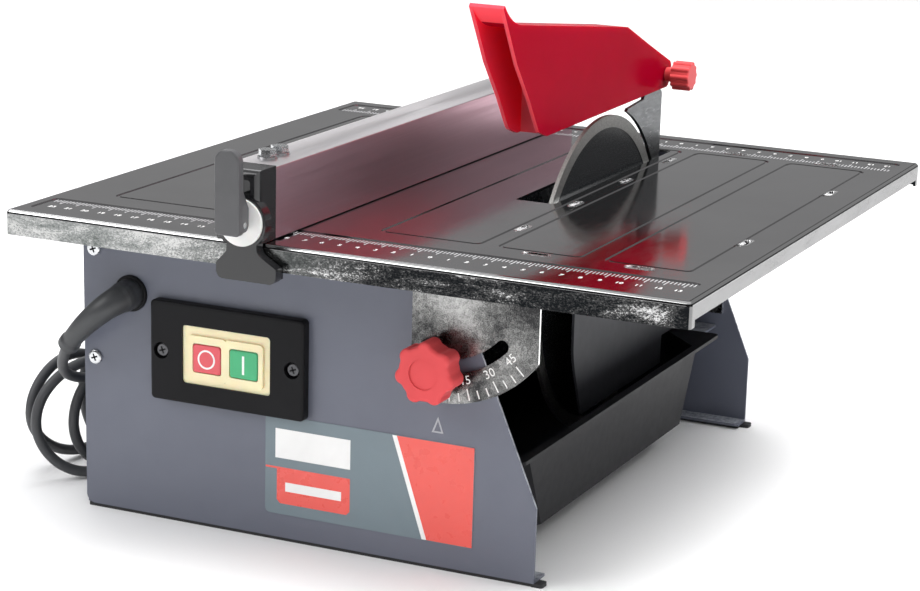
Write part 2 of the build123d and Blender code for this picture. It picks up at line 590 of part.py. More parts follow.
with BuildPart() as fence_lever:
    with BuildSketch(Plane.XZ.offset(-PADDLE_BACK)):
        with Locations((HEAD_X, (PADDLE_BOTTOM + PADDLE_TOP) / 2)):
            Rectangle(PADDLE_W, PADDLE_TOP - PADDLE_BOTTOM)
        fillet(vertices().group_by(Axis.Y)[-1], radius=6.5)
        fillet(vertices().group_by(Axis.Y)[0], radius=2)
    extrude(amount=PADDLE_BACK - PADDLE_FRONT)
    fillet(fence_lever.faces().sort_by(Axis.Y)[0].edges(), radius=1)
    with BuildSketch(Plane.YZ.offset(HEAD_X - WEB_HALF)):
        Polygon(
            (PADDLE_BACK, 199.0),
            (LEVER_Y - 1.5, 196.0),
            (LEVER_Y + 3.5, 187.5),
            (LEVER_Y + 3.5, ROD_Z),
            (LEVER_Y, ROD_Z - 3.5),
            (PADDLE_BACK, ROD_Z - 3.5),
            align=None,
        )
        with Locations((LEVER_Y, ROD_Z)):
            Circle(3.5)
    extrude(amount=2 * WEB_HALF)
    with BuildSketch(Plane.YZ.offset(HEAD_X - EYE_HALF - GAP)):
        with Locations((LEVER_Y + 2, ROD_Z - 2)):
            Rectangle(12, 13.5)
    extrude(amount=2 * (EYE_HALF + GAP), mode=Mode.SUBTRACT)
    with BuildSketch(Plane.YZ.offset(HEAD_X - 10)):
        with Locations((LEVER_Y, ROD_Z)):
            Circle(PIN_R + RUN)
    extrude(amount=20, mode=Mode.SUBTRACT)
fence_lever.part.label = "fence_lever"
export_step(fence_lever.part, "parts/fence_lever.step")

# ================================================================ blade guard and riving knife
ROOF = [(-95.8, 272.8), (-25.1, 264.0), (52.9, 254.3), (89.1, 239.8), (127.0, 225.1)]
GUARD_LEFT = BLADE_X - GUARD_HALF

with BuildPart() as blade_guard:
    with BuildSketch(Plane.YZ.offset(GUARD_LEFT)):
        with BuildLine():
            ThreePointArc((-117.8, 284.9), (-108.6, 277.2), ROOF[0])
            Polyline(*ROOF, (122.3, 211.5), (-57.9, 210.0), (-68.8, 213.7), (-82.5, 232.3), (-100.1, 253.2),
                     (-119.2, 283.4), (-117.8, 284.9))
        make_face()
        fillet(vertices().sort_by_distance((122.3, 211.5))[0], radius=4)
        fillet(vertices().sort_by_distance((127.0, 225.1))[0], radius=4)
        fillet(vertices().sort_by_distance((-68.8, 213.7))[0], radius=8)
    extrude(amount=2 * GUARD_HALF)
    with BuildSketch(Plane.YZ.offset(GUARD_LEFT + GUARD_WALL)):
        Polygon(
            (-51.5, 190),
            (-51.5, 265.2),
            (-25.1, 262.0),
            (52.6, 252.3),
            (88.3, 237.8),
            (134, 220.1),
            (134, 190),
            align=None,
        )
    extrude(amount=2 * (GUARD_HALF - GUARD_WALL), mode=Mode.SUBTRACT)
    with BuildSketch(Plane.YZ.offset(GUARD_LEFT + GUARD_WALL)):
        with BuildLine():
            Line((-53.5, 190), (-53.5, 252))
            ThreePointArc((-53.5, 252), (-58.2, 262.0), (-68.0, 267.3))
            Line((-68.0, 267.3), (-96.3, 270.8))
            ThreePointArc((-96.3, 270.8), (-109.6, 275.4), (-120.0, 284.0))
            Polyline((-120.0, 284.0), (-150, 284.0), (-150, 190), (-53.5, 190))
        make_face()
    extrude(amount=2 * (GUARD_HALF - GUARD_WALL), mode=Mode.SUBTRACT)
    with BuildSketch(Plane.YZ.offset(GUARD_LEFT + 0.5)):
        with Locations((GUARD_Y, GUARD_Z)):
            Circle(5.2)
    extrude(amount=GUARD_HALF - 0.5 - KNIFE_T / 2 - GAP)
    with BuildSketch(Plane.YZ.offset(BLADE_X + KNIFE_T / 2 + GAP)):
        with Locations((GUARD_Y, GUARD_Z)):
            Circle(5.2)
    extrude(amount=GUARD_HALF - 0.5 - KNIFE_T / 2 - GAP)
    with BuildSketch(Plane.YZ.offset(GUARD_LEFT - 1)):
        with Locations((GUARD_Y, GUARD_Z)):
            Circle(GUARD_SCREW_R + RUN)
    extrude(amount=2 * GUARD_HALF + 2, mode=Mode.SUBTRACT)
blade_guard.part.label = "blade_guard"
export_step(blade_guard.part, "parts/blade_guard.step")

KNIFE_R = BLADE_R + KNIFE_GAP
KNIFE_LOW, KNIFE_WIDE, KNIFE_SHOULDER, NOSE = 98.0, 157.0, 146.0, (80.0, 201.8)


def knife_edge(z):
    """Front edge of the knife at height z, an even gap behind the blade."""
    return BLADE_Y + sqrt(KNIFE_R**2 - (z - BLADE_Z) ** 2)


with BuildPart() as riving_knife:
    with BuildSketch(Plane.YZ.offset(BLADE_X - KNIFE_T / 2)):
        with BuildLine():
            ThreePointArc((knife_edge(KNIFE_LOW), KNIFE_LOW), (knife_edge(160), 160), NOSE)
            Polyline(NOSE, (81.5, 203.2), (106.0, 205.0), (112.6, 216.8), (119.8, 224.7), (123.4, 219.2))
            Polyline((123.4, 219.2), (126.0, 210.5), (KNIFE_REAR, 206.0), (KNIFE_REAR, KNIFE_SHOULDER),
                     (KNIFE_WIDE, KNIFE_SHOULDER),
                     (KNIFE_WIDE, KNIFE_LOW), (knife_edge(KNIFE_LOW), KNIFE_LOW))
        make_face()
        with Locations((GUARD_Y, GUARD_Z)):
            Circle(EAR_R)
        fillet(vertices().sort_by_distance((KNIFE_REAR, 206))[0], radius=3)
        with Locations((GUARD_Y, GUARD_Z)):
            Circle(GUARD_SCREW_R + RUN, mode=Mode.SUBTRACT)
        with Locations(*[(KNIFE_BOLT_Y, z) for z in KNIFE_BOLT_ZS]):
            Circle(2.5, mode=Mode.SUBTRACT)
    extrude(amount=KNIFE_T)
riving_knife.part.label = "riving_knife"
export_step(riving_knife.part, "parts/riving_knife.step")

KNIFE_FACE = BLADE_X + KNIFE_T / 2
BRACKET_T, LEG_FRONT, LEG_LOW, LEG_HIGH = 2.5, 142.0, 69.0, 145.0
LEG_STEP, TOE_RIGHT, TOE_H = 98.0, 84.0, 19.0
with BuildPart() as knife_bracket:
    with BuildSketch(Plane.YZ.offset(KNIFE_FACE)):
        Polygon(
            (LEG_FRONT, LEG_LOW),
            (SIDE_HALF_D, LEG_LOW),
            (SIDE_HALF_D, LEG_STEP),
            (KNIFE_WIDE, LEG_STEP),
            (KNIFE_WIDE, LEG_HIGH),
            (LEG_FRONT, LEG_HIGH),
            align=None,
        )
        with Locations(*[(KNIFE_BOLT_Y, z) for z in KNIFE_BOLT_ZS]):
            Circle(2.5, mode=Mode.SUBTRACT)
    extrude(amount=BRACKET_T)
    with BuildSketch(Plane.XZ.offset(-SIDE_HALF_D)):
        with Locations(((KNIFE_FACE + TOE_RIGHT) / 2, LEG_LOW + TOE_H / 2)):
            Rectangle(TOE_RIGHT - KNIFE_FACE, TOE_H)
        with Locations(*[(x, KNIFE_BOLT_Z) for x in KNIFE_BOLT_XS]):
            Circle(2.5, mode=Mode.SUBTRACT)
    extrude(amount=BRACKET_T)
knife_bracket.part.label = "knife_bracket"
export_step(knife_bracket.part, "parts/knife_bracket.step")

with BuildPart() as knife_bolts:
    for z in KNIFE_BOLT_ZS:
        with BuildSketch(Plane.YZ.offset(BLADE_X - KNIFE_T / 2)):
            with Locations((KNIFE_BOLT_Y, z)):
                Circle(2.5)
        extrude(amount=KNIFE_T + BRACKET_T)
        with BuildSketch(Plane.YZ.offset(BLADE_X - KNIFE_T / 2)):
            with Locations((KNIFE_BOLT_Y, z)):
                RegularPolygon(4, 6, major_radius=False)
        extrude(amount=-3.5)
        with BuildSketch(Plane.YZ.offset(KNIFE_FACE + BRACKET_T)):
            with Locations((KNIFE_BOLT_Y, z)):
                RegularPolygon(4, 6, major_radius=False)
        extrude(amount=4)
    for x in KNIFE_BOLT_XS:
        with BuildSketch(Plane.XZ.offset(-BASE_HALF_D)):
            with Locations((x, KNIFE_BOLT_Z)):
                Circle(2.5)
        extrude(amount=SHEET + BRACKET_T)
        with BuildSketch(Plane.XZ.offset(-BASE_HALF_D)):
            with Locations((x, KNIFE_BOLT_Z)):
                Circle(4.2)
        extrude(amount=-2)
        with BuildSketch(Plane.XZ.offset(-SIDE_HALF_D + BRACKET_T)):
            with Locations((x, KNIFE_BOLT_Z)):
                RegularPolygon(4, 6, major_radius=False)
        extrude(amount=4)
knife_bolts.part.label = "knife_bolts"
export_step(knife_bolts.part, "parts/knife_bolts.step")

STEM_X, STAR_X, STAR_END, STAR_R, STAR_LOBES = BLADE_X + GUARD_HALF + 0.5, 61.0, 72.0, 8.5, 10

with BuildPart() as guard_screw:
    with BuildSketch(Plane.YZ.offset(GUARD_LEFT - GAP)):
        with Locations((GUARD_Y, GUARD_Z)):
            Circle(GUARD_SCREW_R)
    extrude(amount=STAR_X + 6 - GUARD_LEFT)
    with BuildSketch(Plane.YZ.offset(GUARD_LEFT - GAP)):
        with Locations((GUARD_Y, GUARD_Z)):
            RegularPolygon(4, 6, major_radius=False)
    extrude(amount=-3)
guard_screw.part.label = "guard_screw"
export_step(guard_screw.part, "parts/guard_screw.step")

with BuildPart() as guard_knob:
    with BuildSketch(Plane.YZ.offset(STAR_X)):
        with Locations((GUARD_Y, GUARD_Z)):
            Circle(7.6)
            with PolarLocations(STAR_R - 1.5, STAR_LOBES):
                Circle(1.5)
        fillet(vertices(), radius=0.5)
    extrude(amount=STAR_END - STAR_X)
    fillet(guard_knob.faces().sort_by(Axis.X)[-1].edges(), radius=1.0)
    with BuildSketch(Plane.YZ.offset(STEM_X)):
        with Locations((GUARD_Y, GUARD_Z)):
            Circle(4.2)
    extrude(amount=STAR_X - STEM_X)
    with BuildSketch(Plane.YZ.offset(STEM_X)):
        with Locations((GUARD_Y, GUARD_Z)):
            Circle(GUARD_SCREW_R)
    extrude(amount=STAR_X + 6 - GAP - STEM_X, mode=Mode.SUBTRACT)
guard_knob.part.label = "guard_knob"
export_step(guard_knob.part, "parts/guard_knob.step")

# ================================================================ blade and spindle
with BuildPart() as blade:
    with BuildSketch(Plane.YZ.offset(BLADE_X - CORE_T / 2)):
        with Locations((BLADE_Y, BLADE_Z)):
            Circle(BLADE_R - RIM_W)
    extrude(amount=CORE_T)
    with BuildSketch(Plane.YZ.offset(BLADE_X - RIM_T / 2)):
        with Locations((BLADE_Y, BLADE_Z)):
            Circle(BLADE_R)
            Circle(BLADE_R - RIM_W, mode=Mode.SUBTRACT)
    extrude(amount=RIM_T)
    with BuildSketch(Plane.YZ.offset(BLADE_X - RIM_T)):
        with Locations((BLADE_Y, BLADE_Z)):
            Circle(12.7)
    extrude(amount=2 * RIM_T, mode=Mode.SUBTRACT)
blade.part.label = "blade"
export_step(blade.part, "parts/blade.step")

CORE_LEFT, CORE_RIGHT = BLADE_X - CORE_T / 2, BLADE_X + CORE_T / 2
with BuildPart() as inner_flange:
    with BuildSketch(Plane.YZ.offset(CORE_LEFT)):
        with Locations((BLADE_Y, BLADE_Z)):
            Circle(22)
    extrude(amount=-4)
    with BuildSketch(Plane.YZ.offset(CORE_LEFT - 4)):
        with Locations((BLADE_Y, BLADE_Z)):
            Circle(12)
    extrude(amount=-12)
    with BuildSketch(Plane.YZ.offset(CORE_LEFT)):
        with Locations((BLADE_Y, BLADE_Z)):
            Circle(12.7)
    extrude(amount=CORE_T)
    with BuildSketch(Plane.YZ.offset(CORE_LEFT - 20)):
        with Locations((BLADE_Y, BLADE_Z)):
            Circle(SHAFT_R)
    extrude(amount=30, mode=Mode.SUBTRACT)
inner_flange.part.label = "inner_flange"
export_step(inner_flange.part, "parts/inner_flange.step")

with BuildPart() as outer_flange:
    with BuildSketch(Plane.YZ.offset(CORE_RIGHT)):
        with Locations((BLADE_Y, BLADE_Z)):
            Circle(22)
            Circle(SHAFT_R, mode=Mode.SUBTRACT)
    extrude(amount=4)
    chamfer(outer_flange.faces().sort_by(Axis.X)[-1].edges().group_by(SortBy.LENGTH)[-1], length=1.5)
outer_flange.part.label = "outer_flange"
export_step(outer_flange.part, "parts/outer_flange.step")

with BuildPart() as arbor_nut:
    with BuildSketch(Plane.YZ.offset(CORE_RIGHT + 4)):
        with Locations((BLADE_Y, BLADE_Z)):
            RegularPolygon(9.5, 6, major_radius=False)
            Circle(SHAFT_R, mode=Mode.SUBTRACT)
    extrude(amount=8)
arbor_nut.part.label = "arbor_nut"
export_step(arbor_nut.part, "parts/arbor_nut.step")

SHAFT_LEFT, SHAFT_RIGHT = -112.0, CORE_RIGHT + 14
with BuildPart() as motor_shaft:
    with BuildSketch(Plane.YZ.offset(SHAFT_LEFT)):
        with Locations((BLADE_Y, BLADE_Z)):
            Circle(SHAFT_R)
    extrude(amount=SHAFT_RIGHT - SHAFT_LEFT)
    chamfer(motor_shaft.edges().filter_by(GeomType.CIRCLE), length=1)
motor_shaft.part.label = "motor_shaft"
export_step(motor_shaft.part, "parts/motor_shaft.step")

ROTOR_LEFT, ROTOR_L, ROTOR_R, STATOR_R = -70.0, 46.0, 24.5, 42.0
with BuildPart() as rotor:
    with BuildSketch(Plane.YZ.offset(ROTOR_LEFT)):
        with Locations((BLADE_Y, BLADE_Z)):
            Circle(ROTOR_R)
            Circle(SHAFT_R, mode=Mode.SUBTRACT)
    extrude(amount=ROTOR_L)
rotor.part.label = "rotor"
export_step(rotor.part, "parts/rotor.step")

with BuildPart() as cooling_fan:
    with BuildSketch(Plane.YZ.offset(-94)):
        with Locations((BLADE_Y, BLADE_Z)):
            Circle(11)
            Circle(SHAFT_R, mode=Mode.SUBTRACT)
    extrude(amount=12)
    with BuildSketch(Plane.YZ.offset(-84)):
        with Locations((BLADE_Y, BLADE_Z)):
            Circle(36)
            Circle(10, mode=Mode.SUBTRACT)
    extrude(amount=2)
    with BuildSketch(Plane.YZ.offset(-94)):
        with Locations((BLADE_Y, BLADE_Z)):
            with PolarLocations(23, 9):
                Rectangle(25, 2)
    extrude(amount=10)
cooling_fan.part.label = "cooling_fan"
export_step(cooling_fan.part, "parts/cooling_fan.step")

# ================================================================ motor
with BuildPart() as stator:
    with BuildSketch(Plane.YZ.offset(ROTOR_LEFT)):
        with Locations((BLADE_Y, BLADE_Z)):
            Circle(STATOR_R)
            Circle(ROTOR_R + 0.5, mode=Mode.SUBTRACT)
            with PolarLocations(31, 12):
                Rectangle(9, 4, mode=Mode.SUBTRACT)
    extrude(amount=ROTOR_L)
stator.part.label = "stator"
export_step(stator.part, "parts/stator.step")

with BuildPart() as stator_windings:
    for left, length in ((ROTOR_LEFT - 9, 9), (ROTOR_LEFT + ROTOR_L, 9)):
        with BuildSketch(Plane.YZ.offset(left)):
            with Locations((BLADE_Y, BLADE_Z)):
                Circle(37.5)
                Circle(27, mode=Mode.SUBTRACT)
        extrude(amount=length)
    with BuildSketch(Plane.YZ.offset(ROTOR_LEFT)):
        with Locations((BLADE_Y, BLADE_Z)):
            with PolarLocations(31, 12):
                Rectangle(9, 4)
    extrude(amount=ROTOR_L)
stator_windings.part.label = "stator_windings"
export_step(stator_windings.part, "parts/stator_windings.step")

with BuildPart() as motor_housing:
    with BuildSketch(Plane.YZ.offset(MOTOR_LEFT)):
        with Locations((BLADE_Y, BLADE_Z)):
            Circle(MOTOR_R)
            Circle(STATOR_R, mode=Mode.SUBTRACT)
    extrude(amount=MOTOR_RIGHT - MOTOR_LEFT)
    with BuildSketch(Plane.YZ.offset(MOTOR_LEFT + 12)):
        with Locations((BLADE_Y, BLADE_Z)):
            with PolarLocations(MOTOR_R + 0.6, 10, start_angle=36, angular_range=288):
                Rectangle(1.8, 2.5)
    extrude(amount=MOTOR_RIGHT - MOTOR_LEFT - 24)
motor_housing.part.label = "motor_housing"
export_step(motor_housing.part, "parts/motor_housing.step")

BEARING_R, BEARING_W = 15.0, 9.0
FRONT_BEARING_X, REAR_BEARING_X = MOTOR_RIGHT - 4, MOTOR_LEFT - 8

with BuildPart() as motor_front_bell:
    with BuildSketch(Plane.YZ.offset(MOTOR_RIGHT)):
        with Locations((BLADE_Y, BLADE_Z)):
            Circle(MOTOR_R)
    extrude(amount=WALL_X - MOTOR_RIGHT)
    with BuildSketch(Plane.YZ.offset(FRONT_BEARING_X)):
        with Locations((BLADE_Y, BLADE_Z)):
            Circle(20)
    extrude(amount=MOTOR_RIGHT - FRONT_BEARING_X)
    with BuildSketch(Plane.YZ.offset(WALL_X)):
        with Locations((BLADE_Y, BLADE_Z)):
            Circle(20)
    extrude(amount=WALL_T)
    with BuildSketch(Plane.YZ.offset(FRONT_BEARING_X)):
        with Locations((BLADE_Y, BLADE_Z)):
            Circle(BEARING_R)
    extrude(amount=BEARING_W, mode=Mode.SUBTRACT)
    with BuildSketch(Plane.YZ.offset(FRONT_BEARING_X)):
        with Locations((BLADE_Y, BLADE_Z)):
            Circle(SHAFT_R + 1)
            with PolarLocations(33, 4, start_angle=45):
                Circle(2)
    extrude(amount=20, mode=Mode.SUBTRACT)
motor_front_bell.part.label = "motor_front_bell"
export_step(motor_front_bell.part, "parts/motor_front_bell.step")

with BuildPart() as motor_rear_bell:
    with BuildSketch(Plane.YZ.offset(MOTOR_LEFT)):
        with Locations((BLADE_Y, BLADE_Z)):
            Circle(MOTOR_R)
            with PolarLocations(31, 10):
                SlotOverall(16, 5, mode=Mode.SUBTRACT)
    extrude(amount=-4)
    with BuildSketch(Plane.YZ.offset(MOTOR_LEFT)):
        with Locations((BLADE_Y, BLADE_Z)):
            Circle(19)
    extrude(amount=-14)
    with BuildSketch(Plane.YZ.offset(MOTOR_LEFT)):
        with Locations((BLADE_Y, BLADE_Z)):
            Circle(BEARING_R)
    extrude(amount=-8, mode=Mode.SUBTRACT)
    with BuildSketch(Plane.YZ.offset(MOTOR_LEFT)):
        with Locations((BLADE_Y, BLADE_Z)):
            Circle(SHAFT_R + 1)
    extrude(amount=-12.5, mode=Mode.SUBTRACT)
    fillet(motor_rear_bell.edges().filter_by(GeomType.CIRCLE).group_by(Axis.X)[0], radius=2)
motor_rear_bell.part.label = "motor_rear_bell"
export_step(motor_rear_bell.part, "parts/motor_rear_bell.step")

with BuildPart() as front_bearing:
    with BuildSketch(Plane.YZ.offset(FRONT_BEARING_X)):
        with Locations((BLADE_Y, BLADE_Z)):
            Circle(BEARING_R)
            Circle(SHAFT_R + RUN, mode=Mode.SUBTRACT)
    extrude(amount=BEARING_W)
front_bearing.part.label = "front_bearing"
export_step(front_bearing.part, "parts/front_bearing.step")

with BuildPart() as rear_bearing:
    with BuildSketch(Plane.YZ.offset(REAR_BEARING_X)):
        with Locations((BLADE_Y, BLADE_Z)):
            Circle(BEARING_R)
            Circle(SHAFT_R + RUN, mode=Mode.SUBTRACT)
    extrude(amount=8)
rear_bearing.part.label = "rear_bearing"
export_step(rear_bearing.part, "parts/rear_bearing.step")

WALL_LOW, WALL_HIGH = 69.0, 162.0
with BuildPart() as motor_wall:
    with BuildSketch(Plane.YZ.offset(WALL_X)):
        with Locations((0, (WALL_LOW + WALL_HIGH) / 2)):
            Rectangle(2 * SIDE_HALF_D, WALL_HIGH - WALL_LOW)
        with Locations((BLADE_Y, BLADE_Z)):
            Circle(20, mode=Mode.SUBTRACT)
            with PolarLocations(33, 4, start_angle=45):
                Circle(2, mode=Mode.SUBTRACT)
    extrude(amount=WALL_T)
    for side in (-1, 1):
        with BuildSketch(Plane.XY.offset(WALL_LOW)):
            with Locations((WALL_X - 8, side * (SIDE_HALF_D - SHEET / 2))):
                Rectangle(16, SHEET)
        extrude(amount=WALL_HIGH - WALL_LOW)
motor_wall.part.label = "motor_wall"
export_step(motor_wall.part, "parts/motor_wall.step")

SHIELD_X, SHIELD_T, SHIELD_FRONT, SHIELD_LOW, SHIELD_HIGH = 66.0, 1.5, -38.0, 50.0, 138.0
SHIELD_STEP_Y, SHIELD_STEP_Z, SHIELD_REAR = 100.0, 67.0, 154.0
TAB_LOW, SHIELD_TAB = 95.0, 12.0
with BuildPart() as splash_shield:
    with BuildSketch(Plane.YZ.offset(SHIELD_X)):
        Polygon(
            (SHIELD_FRONT, SHIELD_HIGH),
            (SHIELD_FRONT, SHIELD_LOW + 36),
            (SHIELD_FRONT + 15, SHIELD_LOW),
            (SHIELD_STEP_Y, SHIELD_LOW),
            (SHIELD_STEP_Y, SHIELD_STEP_Z),
            (SHIELD_REAR, SHIELD_STEP_Z),
            (SHIELD_REAR, TAB_LOW),
            (SIDE_HALF_D, TAB_LOW),
            (SIDE_HALF_D, SHIELD_HIGH),
            align=None,
        )
        fillet(vertices().sort_by_distance((SHIELD_FRONT, SHIELD_LOW + 36))[0], radius=40)
    extrude(amount=SHIELD_T)
    with BuildSketch(Plane.XZ.offset(-SIDE_HALF_D)):
        with Locations((SHIELD_X + SHIELD_TAB / 2, (TAB_LOW + SHIELD_HIGH) / 2)):
            Rectangle(SHIELD_TAB, SHIELD_HIGH - TAB_LOW)
    extrude(amount=SHIELD_T)
splash_shield.part.label = "splash_shield"
export_step(splash_shield.part, "parts/splash_shield.step")

MOTOR_SCREW_HEAD = 2.5
with BuildPart() as motor_screws:
    with BuildSketch(Plane.YZ.offset(WALL_X + WALL_T)):
        with Locations((BLADE_Y, BLADE_Z)):
            with PolarLocations(33, 4, start_angle=45):
                Circle(3.6)
    extrude(amount=MOTOR_SCREW_HEAD)
    with BuildSketch(Plane.YZ.offset(WALL_X + WALL_T)):
        with Locations((BLADE_Y, BLADE_Z)):
            with PolarLocations(33, 4, start_angle=45):
                Circle(2)
    extrude(amount=-WALL_T - WALL_X + MOTOR_RIGHT)
motor_screws.part.label = "motor_screws"
export_step(motor_screws.part, "parts/motor_screws.step")

CAP_Y, CAP_Z, CAP_R = -55.0, 132.0, 17.0
with BuildPart() as capacitor:
    with BuildSketch(Plane.YZ.offset(-70)):
        with Locations((CAP_Y, CAP_Z)):
            Circle(CAP_R)
    extrude(amount=WALL_X + 70)
    fillet(capacitor.edges().group_by(Axis.X)[0], radius=2)
capacitor.part.label = "capacitor"
export_step(capacitor.part, "parts/capacitor.step")

# ================================================================ switch
BOX_W, BOX_H, BOX_BACK = 64.0, 37.0, -126.0
WELL_FLOOR = -158.0

with BuildPart() as switch_housing:
    with BuildSketch(Plane.XZ.offset(BASE_HALF_D)):
        with Locations((SWITCH_X, SWITCH_Z)):
            RectangleRounded(SWITCH_W, SWITCH_H, 2.5)
    extrude(amount=SWITCH_T)
    fillet(switch_housing.faces().sort_by(Axis.Y)[0].edges(), radius=1.6)
    with BuildSketch(Plane.XZ.offset(BASE_HALF_D)):
        with Locations((SWITCH_X, SWITCH_Z)):
            Rectangle(BOX_W, BOX_H)
    extrude(amount=-BASE_HALF_D - BOX_BACK)
    with BuildSketch(Plane.XZ.offset(BASE_HALF_D + SWITCH_T)):
        with Locations((SWITCH_X, SWITCH_Z)):
            RectangleRounded(WINDOW_W, WINDOW_H, 2)
    extrude(amount=-BASE_HALF_D - SWITCH_T - BOX_BACK - 2, mode=Mode.SUBTRACT)
    with BuildSketch(Plane.XZ.offset(BASE_HALF_D + SWITCH_T)):
        with Locations((SWITCH_X - SWITCH_SCREWS, SWITCH_Z), (SWITCH_X + SWITCH_SCREWS, SWITCH_Z)):
            Circle(4.5)
    extrude(amount=-3.5, mode=Mode.SUBTRACT)
    with BuildSketch(Plane.XZ.offset(BASE_HALF_D + SWITCH_T)):
        with Locations((SWITCH_X - SWITCH_SCREWS, SWITCH_Z), (SWITCH_X + SWITCH_SCREWS, SWITCH_Z)):
            Circle(SCREW_R)
    extrude(amount=-SWITCH_T, mode=Mode.SUBTRACT)
switch_housing.part.label = "switch_housing"
export_step(switch_housing.part, "parts/switch_housing.step")

with BuildPart() as switch_body:
    with BuildSketch(Plane.XZ.offset(BASE_HALF_D + SWITCH_T - 1)):
        with Locations((SWITCH_X, SWITCH_Z)):
            RectangleRounded(WINDOW_W, WINDOW_H, 2)
    extrude(amount=-BASE_HALF_D - SWITCH_T + 1 - BOX_BACK - 6)
    with BuildSketch(Plane.XZ.offset(BASE_HALF_D + SWITCH_T - 1)):
        for column in (-1, 1):
            with Locations((SWITCH_X + column * BUTTON_PITCH / 2, BUTTON_Z)):
                RectangleRounded(BUTTON_W + 6, BUTTON_H + 9, 2)
    extrude(amount=1.5)
    with BuildSketch(Plane.XZ.offset(BASE_HALF_D + SWITCH_T + 1)):
        for column in (-1, 1):
            with Locations((SWITCH_X + column * BUTTON_PITCH / 2, BUTTON_Z)):
                RectangleRounded(BUTTON_W + 2 * GAP, BUTTON_H + 2 * GAP, 1.5)
    extrude(amount=-BASE_HALF_D - SWITCH_T - 1 - WELL_FLOOR, mode=Mode.SUBTRACT)
switch_body.part.label = "switch_body"
export_step(switch_body.part, "parts/switch_body.step")

with BuildPart() as off_button:
    with BuildSketch(Plane.XZ.offset(-BUTTON_FRONT)):
        with Locations((SWITCH_X - BUTTON_PITCH / 2, BUTTON_Z)):
            RectangleRounded(BUTTON_W, BUTTON_H, 1.5)
    extrude(amount=-9)
    fillet(off_button.faces().sort_by(Axis.Y)[0].edges(), radius=0.8)
off_button.part.label = "off_button"
export_step(off_button.part, "parts/off_button.step")

with BuildPart() as on_button:
    with BuildSketch(Plane.XZ.offset(-BUTTON_FRONT)):
        with Locations((SWITCH_X + BUTTON_PITCH / 2, BUTTON_Z)):
            RectangleRounded(BUTTON_W, BUTTON_H, 1.5)
    extrude(amount=-9)
    fillet(on_button.faces().sort_by(Axis.Y)[0].edges(), radius=0.8)
on_button.part.label = "on_button"
export_step(on_button.part, "parts/on_button.step")

with BuildPart() as switch_screws:
    for column in (-1, 1):
        with BuildSketch(Plane.XZ.offset(BASE_HALF_D + SWITCH_T - 3.5)):
            with Locations((SWITCH_X + column * SWITCH_SCREWS, SWITCH_Z)):
                Circle(3.8)
        extrude(amount=2.2)
        with BuildSketch(Plane.XZ.offset(BASE_HALF_D + SWITCH_T - 3.5)):
            with Locations((SWITCH_X + column * SWITCH_SCREWS, SWITCH_Z)):
                Circle(SCREW_R)
        extrude(amount=-8)
    fillet(switch_screws.edges().filter_by(GeomType.CIRCLE).group_by(Axis.Y)[0], radius=1)
switch_screws.part.label = "switch_screws"
export_step(switch_screws.part, "parts/switch_screws.step")

# ================================================================ mains lead
BOOT_R, BOOT_END_R = 6.4, 4.6
with BuildPart() as cable_gland:
    with BuildSketch(Plane.XZ.offset(BASE_HALF_D - SHEET - 2)):
        with Locations((GLAND_X, GLAND_Z)):
            Circle(GLAND_R)
    extrude(amount=SHEET + 2)
    with BuildSketch(Plane.XZ.offset(BASE_HALF_D)):
        with Locations((GLAND_X, GLAND_Z)):
            Circle(GLAND_R + 1.3)
    extrude(amount=1.8)
    fillet(cable_gland.edges().filter_by(GeomType.CIRCLE).group_by(Axis.Y)[0], radius=0.8)
    with BuildSketch(Plane.XZ.offset(BASE_HALF_D - 10)):
        with Locations((GLAND_X, GLAND_Z)):
            Circle(BOOT_R)
    extrude(amount=20, mode=Mode.SUBTRACT)
cable_gland.part.label = "cable_gland"
export_step(cable_gland.part, "parts/cable_gland.step")

with BuildPart() as strain_relief:
    with BuildLine() as boot_line:
        FilletPolyline(*BOOT_ROUTE, radius=[9, 16])
    with BuildSketch(Plane(boot_line.line @ 0, z_dir=boot_line.line % 0)):
        Circle(BOOT_R)
    with BuildSketch(Plane(boot_line.line @ 0.35, z_dir=boot_line.line % 0.35)):
        Circle(BOOT_R)
    with BuildSketch(Plane(boot_line.line @ 1, z_dir=boot_line.line % 1)):
        Circle(BOOT_END_R)
    sweep(multisection=True)
strain_relief.part.label = "strain_relief"
export_step(strain_relief.part, "parts/strain_relief.step")

lead_radii = cord_radii(LEAD_ROUTE)
with BuildPart() as cord_run:
    with BuildLine() as lead_line:
        FilletPolyline(*LEAD_ROUTE, radius=lead_radii)
    with BuildSketch(Plane(lead_line.line @ 0, z_dir=lead_line.line % 0)):
        Circle(CORD_R)
    sweep()
report_cord("cord_run", cord_run.part, sum(e.length for e in lead_line.edges()), lead_radii)
cord_run.part.label = "cord_run"
export_step(cord_run.part, "parts/cord_run.step")

with BuildPart() as cord_coil:
    with BuildSketch(Plane.YZ.offset(COIL_LEFT)):
        with Locations((COIL_Y, COIL_Z)):
            Ellipse(COIL_HALF_L, COIL_HALF_H)
            Ellipse(COIL_HOLE_L, COIL_HOLE_H, mode=Mode.SUBTRACT)
    extrude(amount=COIL_RIGHT - COIL_LEFT)
    with BuildSketch():
        Polygon(*COIL_PLAN, align=None)
    extrude(amount=80, mode=Mode.INTERSECT)
cord_coil.part.label = "cord_coil"
export_step(cord_coil.part, "parts/cord_coil.step")

tail_radii = cord_radii(TAIL_ROUTE)
with BuildPart() as cord_tail:
    with BuildLine() as tail_line:
        FilletPolyline(*TAIL_ROUTE, radius=tail_radii)
    with BuildSketch(Plane(tail_line.line @ 0, z_dir=tail_line.line % 0)):
        Circle(CORD_R)
    sweep()
report_cord("cord_tail", cord_tail.part, sum(e.length for e in tail_line.edges()), tail_radii)
cord_tail.part.label = "cord_tail"
export_step(cord_tail.part, "parts/cord_tail.step")

